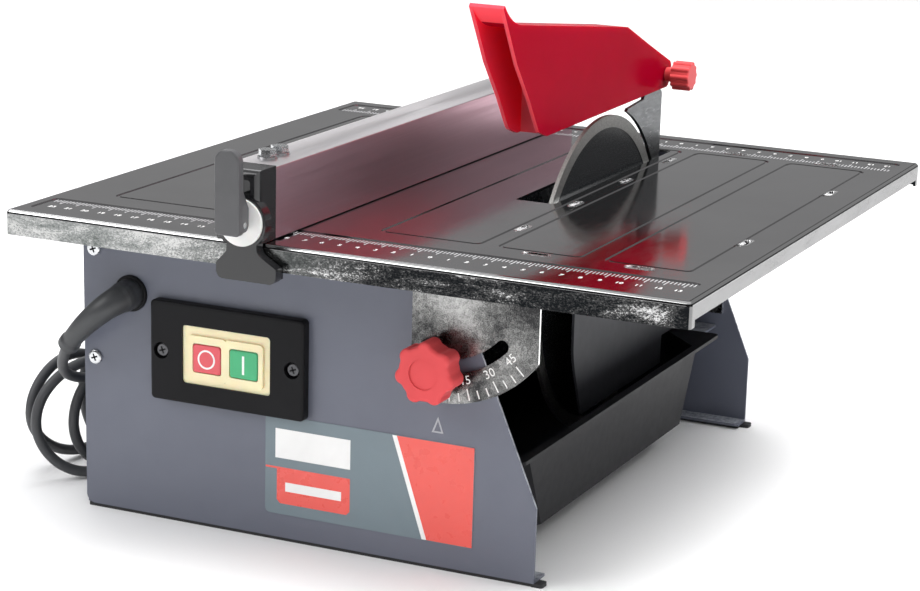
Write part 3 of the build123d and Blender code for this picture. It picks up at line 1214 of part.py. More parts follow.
with BuildPart() as plug:
    with BuildSketch(Plane.XZ.offset(-PLUG_REAR)):
        with Locations((PLUG_X, PLUG_Z)):
            Circle(5.5)
    with BuildSketch(Plane.XZ.offset(-PLUG_REAR - 20)):
        with Locations((PLUG_X, PLUG_Z)):
            Circle(9)
    loft()
    with BuildSketch(Plane.XZ.offset(-PLUG_REAR - 20)):
        with Locations((PLUG_X, PLUG_Z)):
            Circle(PLUG_R)
    extrude(amount=-24)
    fillet(plug.edges().filter_by(GeomType.CIRCLE).group_by(SortBy.RADIUS)[-1], radius=3)
plug.part.label = "plug"
export_step(plug.part, "parts/plug.step")

with BuildPart() as plug_pins:
    with BuildSketch(Plane.XZ.offset(-PLUG_REAR - 44)):
        with Locations((PLUG_X, PLUG_Z + 9.5), (PLUG_X, PLUG_Z - 9.5)):
            Circle(2.4)
    extrude(amount=-19)
    fillet(plug_pins.edges().group_by(Axis.Y)[-1], radius=1.5)
plug_pins.part.label = "plug_pins"
export_step(plug_pins.part, "parts/plug_pins.step")

# ================================================================ water tank
TANK_RIM = (-60.0, 92.5, -159.0, 133.0)
TANK_MOUTH = [(-57, -155), (82, -155), (90, -148), (90, 100), (63, 127), (-57, 127)]
TANK_BASE = [(-50, -132), (78, -132), (84, -114), (84, 94), (64, 116), (-50, 116)]
TANK_MOUTH_IN = [(-54.5, -152.5), (81, -152.5), (87.5, -147), (87.5, 99), (62, 124.5), (-54.5, 124.5)]
TANK_BASE_IN = [(-47.5, -129.5), (76.5, -129.5), (81.5, -113), (81.5, 93), (63, 113.5), (-47.5, 113.5)]

with BuildPart() as water_tank:
    with BuildSketch(Plane.XY.offset(TANK_LOW)):
        Polygon(*TANK_BASE, align=None)
    with BuildSketch(Plane.XY.offset(TANK_HIGH)):
        Polygon(*TANK_MOUTH, align=None)
    loft()
    with BuildSketch(Plane.XY.offset(TANK_HIGH - TANK_RIM_T)):
        with Locations(((TANK_RIM[0] + TANK_RIM[1]) / 2, (TANK_RIM[2] + TANK_RIM[3]) / 2)):
            RectangleRounded(TANK_RIM[1] - TANK_RIM[0], TANK_RIM[3] - TANK_RIM[2], 3)
    extrude(amount=TANK_RIM_T)
    with BuildSketch(Plane.XY.offset(TANK_LOW + TANK_WALL)):
        Polygon(*TANK_BASE_IN, align=None)
    with BuildSketch(Plane.XY.offset(TANK_HIGH)):
        Polygon(*TANK_MOUTH_IN, align=None)
    loft(mode=Mode.SUBTRACT)
water_tank.part.label = "water_tank"
export_step(water_tank.part, "parts/water_tank.step")
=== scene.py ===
"""Wet tile saw: looks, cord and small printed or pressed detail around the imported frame.

Same frame as the CAD, in metres: +X right, +Y away from the user, +Z up.
"""

from math import cos, pi, radians, sin

import bmesh
import bpy
from mathutils import Matrix, Vector


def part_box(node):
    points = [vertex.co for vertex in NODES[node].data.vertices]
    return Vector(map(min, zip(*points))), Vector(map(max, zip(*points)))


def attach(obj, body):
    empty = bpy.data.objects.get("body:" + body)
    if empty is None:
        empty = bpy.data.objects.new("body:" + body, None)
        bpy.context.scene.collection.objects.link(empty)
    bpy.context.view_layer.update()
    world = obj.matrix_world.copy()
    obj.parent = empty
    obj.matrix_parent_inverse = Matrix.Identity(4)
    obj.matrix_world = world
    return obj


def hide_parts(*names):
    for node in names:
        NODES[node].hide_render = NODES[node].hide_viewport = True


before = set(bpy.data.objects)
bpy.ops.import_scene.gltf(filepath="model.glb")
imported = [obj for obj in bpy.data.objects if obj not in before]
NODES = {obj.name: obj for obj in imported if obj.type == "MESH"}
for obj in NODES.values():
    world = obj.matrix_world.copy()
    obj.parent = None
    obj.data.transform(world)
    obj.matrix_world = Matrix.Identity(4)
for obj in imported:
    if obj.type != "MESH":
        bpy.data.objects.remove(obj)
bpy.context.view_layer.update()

MM = 0.001
TABLE_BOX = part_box("table_top")
BLADE_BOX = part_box("blade")
GUARD_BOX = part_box("blade_guard")

# ---------------------------------------------------------------- camera
# Angles are in radians. The camera was fitted to the corners of the table and the base, the figures on the
# rules and the blade.
AZIMUTH, ELEVATION, ROLL = 0.418649, 0.291918, 0.0312544
CAMERA_PLACE = (0.57580, -1.29388, 0.45791)
ahead = Vector((-sin(AZIMUTH) * cos(ELEVATION), cos(AZIMUTH) * cos(ELEVATION), -sin(ELEVATION)))
right = Vector((cos(AZIMUTH), sin(AZIMUTH), 0.0))
up = right.cross(ahead)
cam_x = right * cos(ROLL) + up * sin(ROLL)
cam_y = up * cos(ROLL) - right * sin(ROLL)
camera_data = bpy.data.cameras.new("photo_camera")
camera_data.sensor_width = 36.0
camera_data.lens = 100.82
camera_data.shift_x = -0.0288
camera_data.shift_y = 0.1316
camera_data.clip_start = 0.05
camera_data.clip_end = 60.0
camera = bpy.data.objects.new("photo_camera", camera_data)
axes = Matrix((cam_x, cam_y, -ahead)).transposed().to_4x4()
camera.matrix_world = Matrix.Translation(CAMERA_PLACE) @ axes
bpy.context.scene.collection.objects.link(camera)
bpy.context.scene.camera = camera
bpy.context.scene.view_settings.view_transform = "Standard"


# ---------------------------------------------------------------- light
def area_light(name, place, target, size, watts, mirrored=True):
    """Rectangular lamp aimed at a point. One that isn't mirrored leaves no patch in the polished metal."""
    data = bpy.data.lights.new(name, "AREA")
    data.shape = "RECTANGLE"
    data.size, data.size_y = size
    data.energy = watts
    lamp = bpy.data.objects.new(name, data)
    aim = Vector(target) - Vector(place)
    lamp.matrix_world = Matrix.Translation(place) @ aim.to_track_quat("-Z", "Y").to_matrix().to_4x4()
    lamp.visible_glossy = mirrored
    bpy.context.scene.collection.objects.link(lamp)


area_light("key_light", (-1.5, -1.7, 1.7), (0.0, 0.0, 0.08), (1.5, 1.5), 27)
area_light("fill_light", (1.9, -1.2, 1.2), (0.0, 0.0, 0.10), (1.6, 1.6), 7, mirrored=False)
area_light("top_light", (0.1, 0.3, 2.3), (0.0, 0.0, 0.10), (2.4, 2.4), 52, mirrored=False)
area_light("rear_light", (-1.6, 1.7, 2.2), (0.0, 0.1, 0.10), (1.6, 1.2), 14)
area_light("floor_light", (0.75, 0.15, 1.3), (0.60, 0.10, 0.0), (0.7, 0.9), 16, mirrored=False)

# Grey of the surroundings by height: position from the horizon (0) to straight up (1), then the grey.
SKY_STOPS = ((0.06, 0.40), (0.44, 0.40), (0.80, 1.0))

world = bpy.data.worlds.new("studio")
world.use_nodes = True
sky = world.node_tree
background = sky.nodes["Background"]
direction = sky.nodes.new("ShaderNodeTexCoord")
height = sky.nodes.new("ShaderNodeSeparateXYZ")
shade = sky.nodes.new("ShaderNodeValToRGB")
shade.color_ramp.elements.new(SKY_STOPS[1][0])
for stop, (place, grey) in zip(shade.color_ramp.elements, SKY_STOPS):
    stop.position = place
    stop.color = (grey, grey, grey * 1.01, 1)
sky.links.new(direction.outputs["Generated"], height.inputs[0])
sky.links.new(height.outputs["Z"], shade.inputs[0])
sky.links.new(shade.outputs[0], background.inputs["Color"])
background.inputs["Strength"].default_value = 0.75
bpy.context.scene.world = world


# ---------------------------------------------------------------- materials
class Finish:
    """A procedural material on one Principled shader. Coordinates are the CAD's, in metres."""

    def __init__(self, name, color=(0.5, 0.5, 0.5), rough=0.5, metal=0.0, **shader):
        self.material = bpy.data.materials.new(name)
        self.material.use_nodes = True
        self.tree = self.material.node_tree
        self.shader = self.tree.nodes["Principled BSDF"]
        self.shader.inputs["Base Color"].default_value = (*color, 1)
        self.shader.inputs["Roughness"].default_value = rough
        self.shader.inputs["Metallic"].default_value = metal
        for socket, value in shader.items():
            self.shader.inputs[socket.replace("_", " ")].default_value = value
        self.place = self.add("ShaderNodeTexCoord").outputs["Object"]
        self.axes = None
        self.facing = None

    def add(self, kind, **values):
        node = self.tree.nodes.new(kind)
        for name, value in values.items():
            setattr(node, name, value)
        return node

    def feed(self, socket, value):
        if hasattr(value, "is_output"):
            self.tree.links.new(value, socket)
        else:
            socket.default_value = value

    def axis(self, letter):
        if self.axes is None:
            self.axes = self.add("ShaderNodeSeparateXYZ")
            self.tree.links.new(self.place, self.axes.inputs[0])
        return self.axes.outputs[letter]

    def normal(self, letter):
        """How far the surface faces along an axis of the object, 0 to 1."""
        if self.facing is None:
            coordinates = self.add("ShaderNodeTexCoord")
            self.facing = self.add("ShaderNodeSeparateXYZ")
            self.tree.links.new(coordinates.outputs["Normal"], self.facing.inputs[0])
        return self.size(self.facing.outputs[letter])

    def math(self, operation, a, b=0.0, c=0.0):
        node = self.add("ShaderNodeMath", operation=operation)
        for socket, value in zip(node.inputs, (a, b, c)):
            self.feed(socket, value)
        return node.outputs[0]

    def plus(self, a, b):
        return self.math("ADD", a, b)

    def times(self, a, b):
        return self.math("MULTIPLY", a, b)

    def over(self, value, limit):
        """1 where the value is over the limit, 0 elsewhere."""
        return self.math("GREATER_THAN", value, limit)

    def under(self, value, limit):
        """1 where the value is under the limit, 0 elsewhere."""
        return self.math("LESS_THAN", value, limit)

    def larger(self, a, b):
        return self.math("MAXIMUM", a, b)

    def size(self, value):
        """The value without its sign."""
        return self.math("ABSOLUTE", value)

    def texture(self, kind, scale, stretch=None):
        """Texture node over the object's coordinates, which may be stretched along each axis first."""
        where = self.place
        if stretch is not None:
            mapping = self.add("ShaderNodeMapping")
            self.tree.links.new(where, mapping.inputs["Vector"])
            mapping.inputs["Scale"].default_value = stretch
            where = mapping.outputs[0]
        node = self.add(kind)
        self.tree.links.new(where, node.inputs["Vector"])
        node.inputs["Scale"].default_value = scale
        return node

    def noise(self, scale, detail=3.0, rough=0.55, stretch=None, warp=0.0):
        node = self.texture("ShaderNodeTexNoise", scale, stretch)
        node.inputs["Detail"].default_value = detail
        node.inputs["Roughness"].default_value = rough
        node.inputs["Distortion"].default_value = warp
        return node.outputs["Fac"]

    def cells(self, scale):
        """Random grey per cell, as zinc spangle has."""
        node = self.texture("ShaderNodeTexVoronoi", scale)
        grey = self.add("ShaderNodeSeparateColor")
        self.tree.links.new(node.outputs["Color"], grey.inputs[0])
        return grey.outputs[0]

    def remap(self, value, low, high, to_low=0.0, to_high=1.0):
        node = self.add("ShaderNodeMapRange")
        ends = {"From Min": low, "From Max": high, "To Min": to_low, "To Max": to_high}
        for name, number in ends.items():
            node.inputs[name].default_value = number
        self.feed(node.inputs["Value"], value)
        return node.outputs[0]

    def tones(self, value, *stops):
        """Colour ramp: stops are (position, (r, g, b))."""
        node = self.add("ShaderNodeValToRGB")
        ramp = node.color_ramp
        while len(ramp.elements) < len(stops):
            ramp.elements.new(0.5)
        for element, (position, color) in zip(ramp.elements, stops):
            element.position = position
            element.color = (*color, 1)
        self.feed(node.inputs[0], value)
        return node.outputs[0]

    def blend(self, factor, a, b):
        node = self.add("ShaderNodeMix", data_type="RGBA")
        self.feed(node.inputs[0], factor)
        for socket, value in ((node.inputs[6], a), (node.inputs[7], b)):
            self.feed(socket, value if hasattr(value, "is_output") else (*value, 1))
        return node.outputs[2]

    def color(self, value):
        self.feed(self.shader.inputs["Base Color"], value)
        return self

    def rough(self, value):
        self.feed(self.shader.inputs["Roughness"], value)
        return self

    def bump(self, value, strength, depth):
        """Adds relief of that depth in metres on top of any relief already there."""
        node = self.add("ShaderNodeBump")
        node.inputs["Strength"].default_value = strength
        node.inputs["Distance"].default_value = depth
        self.feed(node.inputs["Height"], value)
        socket = self.shader.inputs["Normal"]
        if socket.is_linked:
            self.tree.links.new(socket.links[0].from_socket, node.inputs["Normal"])
        self.tree.links.new(node.outputs[0], socket)
        return self


def scaled(color, factor):
    return tuple(min(1.0, c * factor) for c in color)


def plastic(name, color, rough=0.4, grain=0.00006, grain_scale=1500, vary=0.12, **shader):
    """Moulded plastic: faint cloudy tone, spark-eroded grain and uneven gloss."""
    finish = Finish(name, color, rough, **shader)
    cloud = finish.noise(22, 4, warp=0.6)
    finish.color(finish.tones(cloud, (0.3, scaled(color, 1 - vary)), (0.7, scaled(color, 1 + vary))))
    finish.rough(finish.remap(finish.noise(160, 5), 0.3, 0.7, rough - 0.02, rough + 0.03))
    finish.bump(finish.noise(grain_scale, 2), 0.5, grain)
    return finish


def metal(name, color, rough=0.25, stretch=None, grain=0.00002, grain_scale=900):
    """Plain metal with drawn or rubbed lines and a dull bloom in places."""
    finish = Finish(name, color, rough, 1.0)
    lines = finish.noise(grain_scale, 3, stretch=stretch)
    bloom = finish.noise(45, 5, warp=0.8)
    finish.color(finish.tones(bloom, (0.3, scaled(color, 0.85)), (0.7, scaled(color, 1.15))))
    finish.rough(finish.remap(lines, 0.25, 0.75, rough - 0.07, rough + 0.1))
    finish.bump(lines, 0.4, grain)
    return finish


# A face that looks along an axis by less than this is an edge or a bend of the sheet, not its flat.
FLAT_FACING = 0.93
# Near-white laid on sheet edges and bends as a painted highlight.
EDGE_HIGHLIGHT = (0.95, 0.95, 0.95)


def paint_coat():
    """Blue-grey satin powder coat, with a painted highlight, broken up by noise, on the sheared edges of the
    sheet.
    """
    finish = Finish("panel_powder_coat", rough=0.42, Coat_Weight=0.18, Coat_Roughness=0.3)
    cloud = finish.noise(6, 4)
    body = finish.tones(cloud, (0.3, (0.108, 0.117, 0.153)), (0.7, (0.122, 0.132, 0.171)))
    flat = finish.larger(finish.normal("X"), finish.normal("Y"))
    highlight_breaks = finish.remap(finish.noise(300), 0.35, 0.6)
    # The sheared edges turn a lighter grey here: a painted highlight.
    edge_highlight = finish.times(finish.under(flat, FLAT_FACING), highlight_breaks)
    finish.color(finish.blend(edge_highlight, body, (0.42, 0.44, 0.48)))
    finish.rough(finish.remap(finish.noise(90, 5), 0.3, 0.7, 0.36, 0.5))
    finish.bump(finish.noise(750, 2), 0.35, 0.00012)
    return finish


def zinc(name, dark=0.03, light=0.15):
    """Galvanised sheet: cloudy patches, fine spangle, a painted highlight band with painted shade beside it
    on the brackets, and painted highlights on the edges.
    """
    highlight_x, highlight_half = 0.058, 0.04
    finish = Finish(name, rough=0.3, metal=1.0)
    cloud = finish.noise(20, 5, 0.6, warp=0.7)
    speck = finish.noise(1500, 4, 0.7)
    spangle = finish.cells(520)
    mottle = finish.plus(finish.times(cloud, 0.5), finish.times(speck, 0.3))
    mottle = finish.plus(mottle, finish.times(spangle, 0.05))
    # A painted highlight band down the faces, with painted shade to each side of it.
    from_highlight = finish.size(finish.math("SUBTRACT", finish.axis("X"), highlight_x))
    stripe = finish.times(finish.remap(from_highlight, 0.0, highlight_half, 0.04, -0.05), finish.normal("Y"))
    mottle = finish.plus(mottle, stripe)
    tone = finish.tones(
        mottle,
        (0.34, (dark, dark, dark * 1.03)),
        (0.43, (light, light, light * 0.98)),
        (0.56, (0.50, 0.50, 0.49)),
    )
    # Edges and bends get a painted highlight.
    edge_highlight = finish.under(finish.larger(finish.normal("Y"), finish.normal("Z")), FLAT_FACING)
    finish.color(finish.blend(finish.times(edge_highlight, 0.8), tone, EDGE_HIGHLIGHT))
    finish.rough(finish.remap(mottle, 0.34, 0.56, 0.2, 0.4))
    finish.bump(cloud, 0.2, 0.0002)
    finish.bump(speck, 0.15, 0.00003)
    return finish


def table_steel(box):
    """Dark glossy table sheet with fine wiping marks. Its folded lips are mottled zinc with a painted
    reflection, paler to the left, and the lip facing right is painted shade.
    """
    top_height, bend_width = 2.3 * MM, 3 * MM
    corner = box[1]
    finish = Finish("table_sheet", rough=0.16, metal=1.0)
    cloud = finish.noise(9, 5, warp=0.5)
    top = finish.tones(cloud, (0.3, (0.40, 0.395, 0.40)), (0.72, (0.48, 0.475, 0.48)))

    smear = finish.noise(60, 6, 0.68, stretch=(0.4, 0.4, 1.4), warp=0.8)
    fleck = finish.noise(1700, 4, 0.75, stretch=(0.6, 0.6, 1.0))
    mottle = finish.plus(finish.times(smear, 0.55), finish.times(fleck, 0.45))
    pale = finish.tones(
        mottle,
        (0.40, (0.09, 0.10, 0.095)),
        (0.50, (0.24, 0.25, 0.245)),
        (0.60, (0.56, 0.56, 0.55)),
    )
    dark = finish.tones(
        mottle,
        (0.46, (0.008, 0.009, 0.010)),
        (0.54, (0.07, 0.07, 0.07)),
        (0.61, (0.65, 0.65, 0.65)),
    )
    # Painted reflection: the lips run from the paler mottle on the left to the darker one on the right; the
    # lip facing right is painted shade, flat grey.
    lip = finish.blend(finish.remap(finish.axis("X"), -0.11, 0.02), pale, dark)
    lip = finish.blend(finish.over(finish.normal("X"), 0.6), lip, (0.17, 0.17, 0.17))
    below = finish.under(finish.axis("Z"), corner.z - top_height)

    # The bend between top and lip carries painted shade, with a painted highlight line that fades to the
    # right.
    outer_y = finish.over(finish.size(finish.axis("Y")), corner.y - bend_width)
    outer_x = finish.over(finish.size(finish.axis("X")), corner.x - bend_width)
    rim = finish.larger(outer_x, outer_y)
    tilt = finish.normal("Z")
    bend_shade = finish.times(rim, finish.math("COMPARE", tilt, 0.56, 0.42))
    line = finish.times(rim, finish.math("COMPARE", tilt, 0.70, 0.22))
    line = finish.times(line, finish.remap(finish.axis("X"), -0.05, 0.15, 1.0, 0.55))
    face = finish.blend(below, top, lip)
    face = finish.blend(bend_shade, face, (0.035, 0.035, 0.036))
    finish.color(finish.blend(line, face, EDGE_HIGHLIGHT))

    wipe = finish.noise(260, 4, stretch=(1.0, 0.3, 1.0))
    gloss = finish.remap(wipe, 0.3, 0.7, 0.09, 0.14)
    dull = finish.remap(mottle, 0.4, 0.65, 0.14, 0.34)
    finish.rough(finish.plus(gloss, finish.times(finish.math("SUBTRACT", dull, gloss), below)))
    finish.bump(finish.noise(16, 2), 0.15, 0.00022)
    finish.bump(wipe, 0.05, 0.00001)
    return finish


def fence_alloy():
    """Anodised extrusion, drawn along Y. The long sides carry a mauve tint, a painted reflection of the red
    guard.
    """
    finish = Finish("fence_anodised", rough=0.3, metal=1.0, Anisotropic=0.35)
    drawn = finish.noise(700, 4, stretch=(1.0, 0.015, 1.0))
    # The long sides get a painted reflection of the red guard, a mauve tint.
    side = finish.over(finish.normal("X"), 0.7)
    painted_reflection_tint = finish.blend(side, (0.78, 0.755, 0.77), (0.80, 0.52, 0.60))
    finish.color(finish.blend(finish.remap(drawn, 0.3, 0.7, 0.0, 0.1), painted_reflection_tint, (0.45, 0.40, 0.42)))
    finish.rough(finish.remap(drawn, 0.3, 0.7, 0.34, 0.44))
    finish.bump(drawn, 0.12, 0.000006)
    return finish


def blade_steel(box):
    """Blackened core with turned rings, and a grey sintered rim with grit."""
    rim, rings_per_metre = 7 * MM, 9000.0
    centre = (box[0] + box[1]) / 2
    radius = (box[1].z - box[0].z) / 2
    finish = Finish("blade_disc", rough=0.3, IOR=1.18)
    across = finish.math("SUBTRACT", finish.axis("Y"), centre.y)
    above = finish.math("SUBTRACT", finish.axis("Z"), centre.z)
    distance = finish.math("SQRT", finish.plus(finish.times(across, across), finish.times(above, above)))
    on_rim = finish.over(distance, radius - rim)
    turned = finish.math("SINE", finish.times(distance, rings_per_metre))
    grit = finish.noise(1500, 4)
    core = finish.blend(finish.remap(turned, -1, 1, 0.0, 0.5), (0.010, 0.011, 0.012), (0.022, 0.023, 0.025))
    sinter = finish.tones(grit, (0.35, (0.30, 0.30, 0.29)), (0.65, (0.52, 0.52, 0.50)))
    finish.color(finish.blend(on_rim, core, sinter))
    finish.feed(finish.shader.inputs["Metallic"], on_rim)
    finish.rough(finish.plus(finish.times(on_rim, 0.28), finish.remap(grit, 0.3, 0.7, 0.22, 0.3)))
    finish.bump(finish.times(grit, on_rim), 0.6, 0.0002)
    finish.bump(turned, 0.1, 0.00001)
    return finish


def laminated(name, color, pitch, axis):
    """Stacked or wound metal: fine parallel lines across an axis."""
    finish = Finish(name, color, 0.42, 0.8)
    lines = finish.math("SINE", finish.times(finish.axis(axis), 2 * pi / pitch))
    finish.color(finish.blend(finish.remap(lines, -1, 1), scaled(color, 0.5), scaled(color, 1.2)))
    finish.bump(lines, 0.6, pitch * 0.3)
    finish.rough(finish.remap(finish.noise(200), 0.3, 0.7, 0.34, 0.55))
    return finish


def guard_plastic(box):
    """Crimson moulding, which lets some light through. The left wall has a painted glow and the faces to the
    front a painted highlight, both paler.
    """
    middle = (box[0].x + box[1].x) / 2
    finish = Finish("guard_red", rough=0.2, IOR=1.04, Subsurface_Weight=0.5, Subsurface_Scale=0.012,
                    Subsurface_Radius=(1.0, 0.08, 0.10))
    cloud = finish.noise(22, 4, warp=0.6)
    body = finish.tones(cloud, (0.3, (0.27, 0.0006, 0.011)), (0.7, (0.31, 0.0008, 0.013)))
    painted_glow_wall = finish.times(finish.under(finish.axis("X"), middle), finish.over(finish.normal("X"), 0.5))
    body = finish.blend(painted_glow_wall, body, (1.0, 0.025, 0.06))
    # Faces to the front get a painted highlight, a paler red.
    finish.color(finish.blend(finish.over(finish.normal("Y"), 0.45), body, (0.85, 0.09, 0.12)))
    finish.rough(finish.remap(finish.noise(160, 5), 0.3, 0.7, 0.16, 0.24))
    finish.bump(finish.noise(500, 2), 0.4, 0.000004)
    return finish


FINISHES = {
    "powder": paint_coat(),
    "zinc": zinc("galvanised_sheet"),
    "table": table_steel(TABLE_BOX),
    "fence": fence_alloy(),
    "blade": blade_steel(BLADE_BOX),
    "bright": metal("bright_steel", (0.58, 0.59, 0.60), 0.24, grain_scale=1200),
    "dull": metal("dull_steel", (0.10, 0.10, 0.105), 0.32, grain_scale=1200),
    "plain": metal("knife_steel", (0.12, 0.125, 0.13), 0.3, stretch=(1, 0.2, 1), grain_scale=800),
    "alloy": metal("cast_alloy", (0.50, 0.50, 0.51), 0.48, grain=0.0003, grain_scale=420),
    "iron": laminated("iron_stack", (0.20, 0.20, 0.21), 1.0 * MM, "X"),
    "winding": laminated("enamelled_winding", (0.46, 0.17, 0.06), 0.9 * MM, "Z"),
    "rubber": plastic("foot_rubber", (0.028, 0.028, 0.030), 0.72, 0.0002, 900),
    "red": guard_plastic(GUARD_BOX),
    "knob": plastic("knob_red", (0.66, 0.070, 0.076), 0.4, 0.00003, 1400, 0.06, IOR=1.3),
    "black": plastic("black_moulding", (0.010, 0.010, 0.011), 0.36, 0.00006, 1300, IOR=1.2),
    "lever": plastic("lever_moulding", (0.075, 0.075, 0.079), 0.3, 0.00004, 1300),
    "gloss_black": plastic("glossy_end_cap", (0.010, 0.010, 0.011), 0.22, 0.00001, 600, Coat_Weight=0.3),
    "tank": plastic("tank_plastic", (0.008, 0.008, 0.010), 0.45, 0.00002, 1500, 0.06, IOR=1.22),
    "shield": plastic("shield_plastic", (0.034, 0.035, 0.040), 0.5, 0.00003, 1200, 0.06, IOR=1.25),
    "nylon": plastic("white_nylon", (0.80, 0.80, 0.78), 0.35, 0.00003, 1200, 0.03, Subsurface_Weight=0.1,
                     Subsurface_Scale=0.004),
    "cream": plastic("switch_cream", (0.86, 0.74, 0.46), 0.22, 0.00002, 700, 0.06, Subsurface_Weight=0.3,
                     Subsurface_Scale=0.006, Coat_Weight=0.5, Coat_Roughness=0.1),
    "off_red": plastic("button_red_face", (0.70, 0.085, 0.105), 0.3, 0.00002, 900, 0.05),
    "on_green": plastic("button_green_face", (0.045, 0.40, 0.17), 0.3, 0.00002, 900, 0.05),
    "can": metal("capacitor_can", (0.66, 0.67, 0.68), 0.32, stretch=(0.05, 1, 1)),
    "cord": plastic("cord_sheath", (0.052, 0.054, 0.058), 0.46, 0.00005, 1100, 0.08),
    "boot": plastic("boot_rubber", (0.036, 0.038, 0.041), 0.42, 0.00005, 1000, 0.08),
    "label": plastic("label_ground", (0.140, 0.188, 0.215), 0.3, 0.00001, 500, 0.04, Coat_Weight=0.3),
    "label_red": plastic("label_coral", (0.80, 0.085, 0.065), 0.28, 0.000004, 500, 0.02, Coat_Weight=0.3),
    "tick": plastic("pressed_tick", (0.46, 0.46, 0.47), 0.4, 0.00002, 900, 0.05),
    "pale": plastic("pale_mark", (0.42, 0.43, 0.46), 0.4, 0.00002, 900, 0.05),
    # Near-white metal for the drain rims: a painted highlight.
    "drain_highlight": metal("drain_rim_highlight", (0.90, 0.90, 0.90), 0.25),
    "white": plastic("white_print", (0.86, 0.86, 0.85), 0.45, 0.00002, 2000, 0.05),
}

COVER = {
    "powder": ("front_panel", "rear_panel", "side_panel"),
    "zinc": ("front_bracket", "rear_bracket", "motor_wall", "knife_bracket", "fence_rear_hook"),
    "table": ("table_top",),
    "fence": ("fence_extrusion",),
    "blade": ("blade",),
    "bright": ("panel_screws", "pivot_bolts", "bevel_studs", "fence_bolts", "rod_nut", "tie_rod",
               "lever_pin", "knife_bolts", "guard_screw", "inner_flange", "outer_flange", "arbor_nut",
               "motor_shaft", "front_bearing", "rear_bearing", "motor_screws", "plug_pins"),
    "dull": ("switch_screws",),
    "plain": ("riving_knife",),
    "alloy": ("motor_housing", "motor_front_bell", "motor_rear_bell"),
    "iron": ("rotor", "stator"),
    "winding": ("stator_windings",),
    "rubber": ("foot_strip", "table_rest_pads"),
    "red": ("blade_guard",),
    "knob": ("bevel_knob_front", "bevel_knob_rear", "guard_knob"),
    "black": ("switch_housing", "cable_gland", "cooling_fan", "plug"),
    "lever": ("fence_lever",),
    "gloss_black": ("fence_head",),
    "tank": ("water_tank",),
    "shield": ("splash_shield",),
    "nylon": ("cam_pad",),
    "cream": ("switch_body",),
    "off_red": ("off_button",),
    "on_green": ("on_button",),
    "can": ("capacitor",),
    "cord": ("cord_run", "cord_coil", "cord_tail"),
    "boot": ("strain_relief",),
    "label": ("rating_label",),
}


def wear(obj, finish):
    obj.data.materials.clear()
    obj.data.materials.append(FINISHES[finish].material)


for finish_name, members in COVER.items():
    for member in members:
        wear(NODES[member], finish_name)


# ---------------------------------------------------------------- piece helpers
def box_mm(node):
    """Lowest and highest corner of a node, in mm."""
    low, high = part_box(node)
    return low / MM, high / MM


def in_metres(points):
    return [tuple(c * MM for c in point) for point in points]


def piece(name, mesh_or_curve, finish, body, smooth=None):
    """Adds a piece that moves with a body; smooth is the largest angle, in degrees, shaded as round."""
    obj = bpy.data.objects.new(name, mesh_or_curve)
    bpy.context.scene.collection.objects.link(obj)
    wear(obj, finish)
    if smooth is not None:
        for polygon in mesh_or_curve.polygons:
            polygon.use_smooth = True
        mesh_or_curve.set_sharp_from_angle(angle=radians(smooth))
    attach(obj, body)
    return obj


def prisms(name, outlines, place, low, high, finish, body):
    """Thin plates: each outline is a closed list of (a, b) in mm; place(a, b, c) gives the point in mm."""
    bm = bmesh.new()
    for outline in outlines:
        floor = [bm.verts.new(Vector(place(a, b, low)) * MM) for a, b in outline]
        roof = [bm.verts.new(Vector(place(a, b, high)) * MM) for a, b in outline]
        bm.faces.new(roof)
        bm.faces.new(floor[::-1])
        for i in range(len(outline)):
            j = (i + 1) % len(outline)
            bm.faces.new((floor[i], floor[j], roof[j], roof[i]))
    bmesh.ops.recalc_face_normals(bm, faces=bm.faces)
    mesh = bpy.data.meshes.new(name)
    bm.to_mesh(mesh)
    bm.free()
    return piece(name, mesh, finish, body)


def bar(x, y, w, h, angle=0.0):
    """Rectangle w wide and h high about (x, y), turned by angle."""
    c, s = cos(angle), sin(angle)
    corners = ((-w / 2, -h / 2), (w / 2, -h / 2), (w / 2, h / 2), (-w / 2, h / 2))
    return [(x + a * c - b * s, y + a * s + b * c) for a, b in corners]


def rectangle(x0, y0, x1, y1):
    return [(x0, y0), (x1, y0), (x1, y1), (x0, y1)]


def numbers(name, labels, size, thick, finish, body):
    """Plain raised figures: labels are (text, 4x4 place in mm)."""
    bm = bmesh.new()
    for text, matrix in labels:
        font = bpy.data.curves.new("figure", "FONT")
        font.body = text
        font.size = size
        font.extrude = thick / 2
        font.align_x = "CENTER"
        font.align_y = "CENTER"
        font.resolution_u = 3
        holder = bpy.data.objects.new("figure", font)
        mesh = bpy.data.meshes.new_from_object(holder)
        mesh.transform(Matrix.Scale(MM, 4) @ matrix)
        bm.from_mesh(mesh)
        bpy.data.objects.remove(holder)
    mesh = bpy.data.meshes.new(name)
    bm.to_mesh(mesh)
    bm.free()
    return piece(name, mesh, finish, body)


def on_front(y):
    """Placement on a face looking towards the user: a is X, b is Z, c comes out of the face."""
    return lambda a, b, c: (a, y - c, b)


def nurbs(points, name, steps):
    """Smooth open curve through given control points, in metres."""
    curve = bpy.data.curves.new(name, "CURVE")
    curve.dimensions = "3D"
    curve.resolution_u = steps
    spline = curve.splines.new("NURBS")
    spline.points.add(len(points) - 1)
    for point, place in zip(spline.points, points):
        point.co = (*place, 1.0)
    spline.order_u = 3
    spline.use_endpoint_u = True
    return curve


def centre_line(points, name, steps):
    """Points along that curve."""
    holder = bpy.data.objects.new(name, nurbs(points, name, steps))
    mesh = bpy.data.meshes.new_from_object(holder)
    line = [v.co.copy() for v in mesh.vertices]
    bpy.data.objects.remove(holder)
    return line


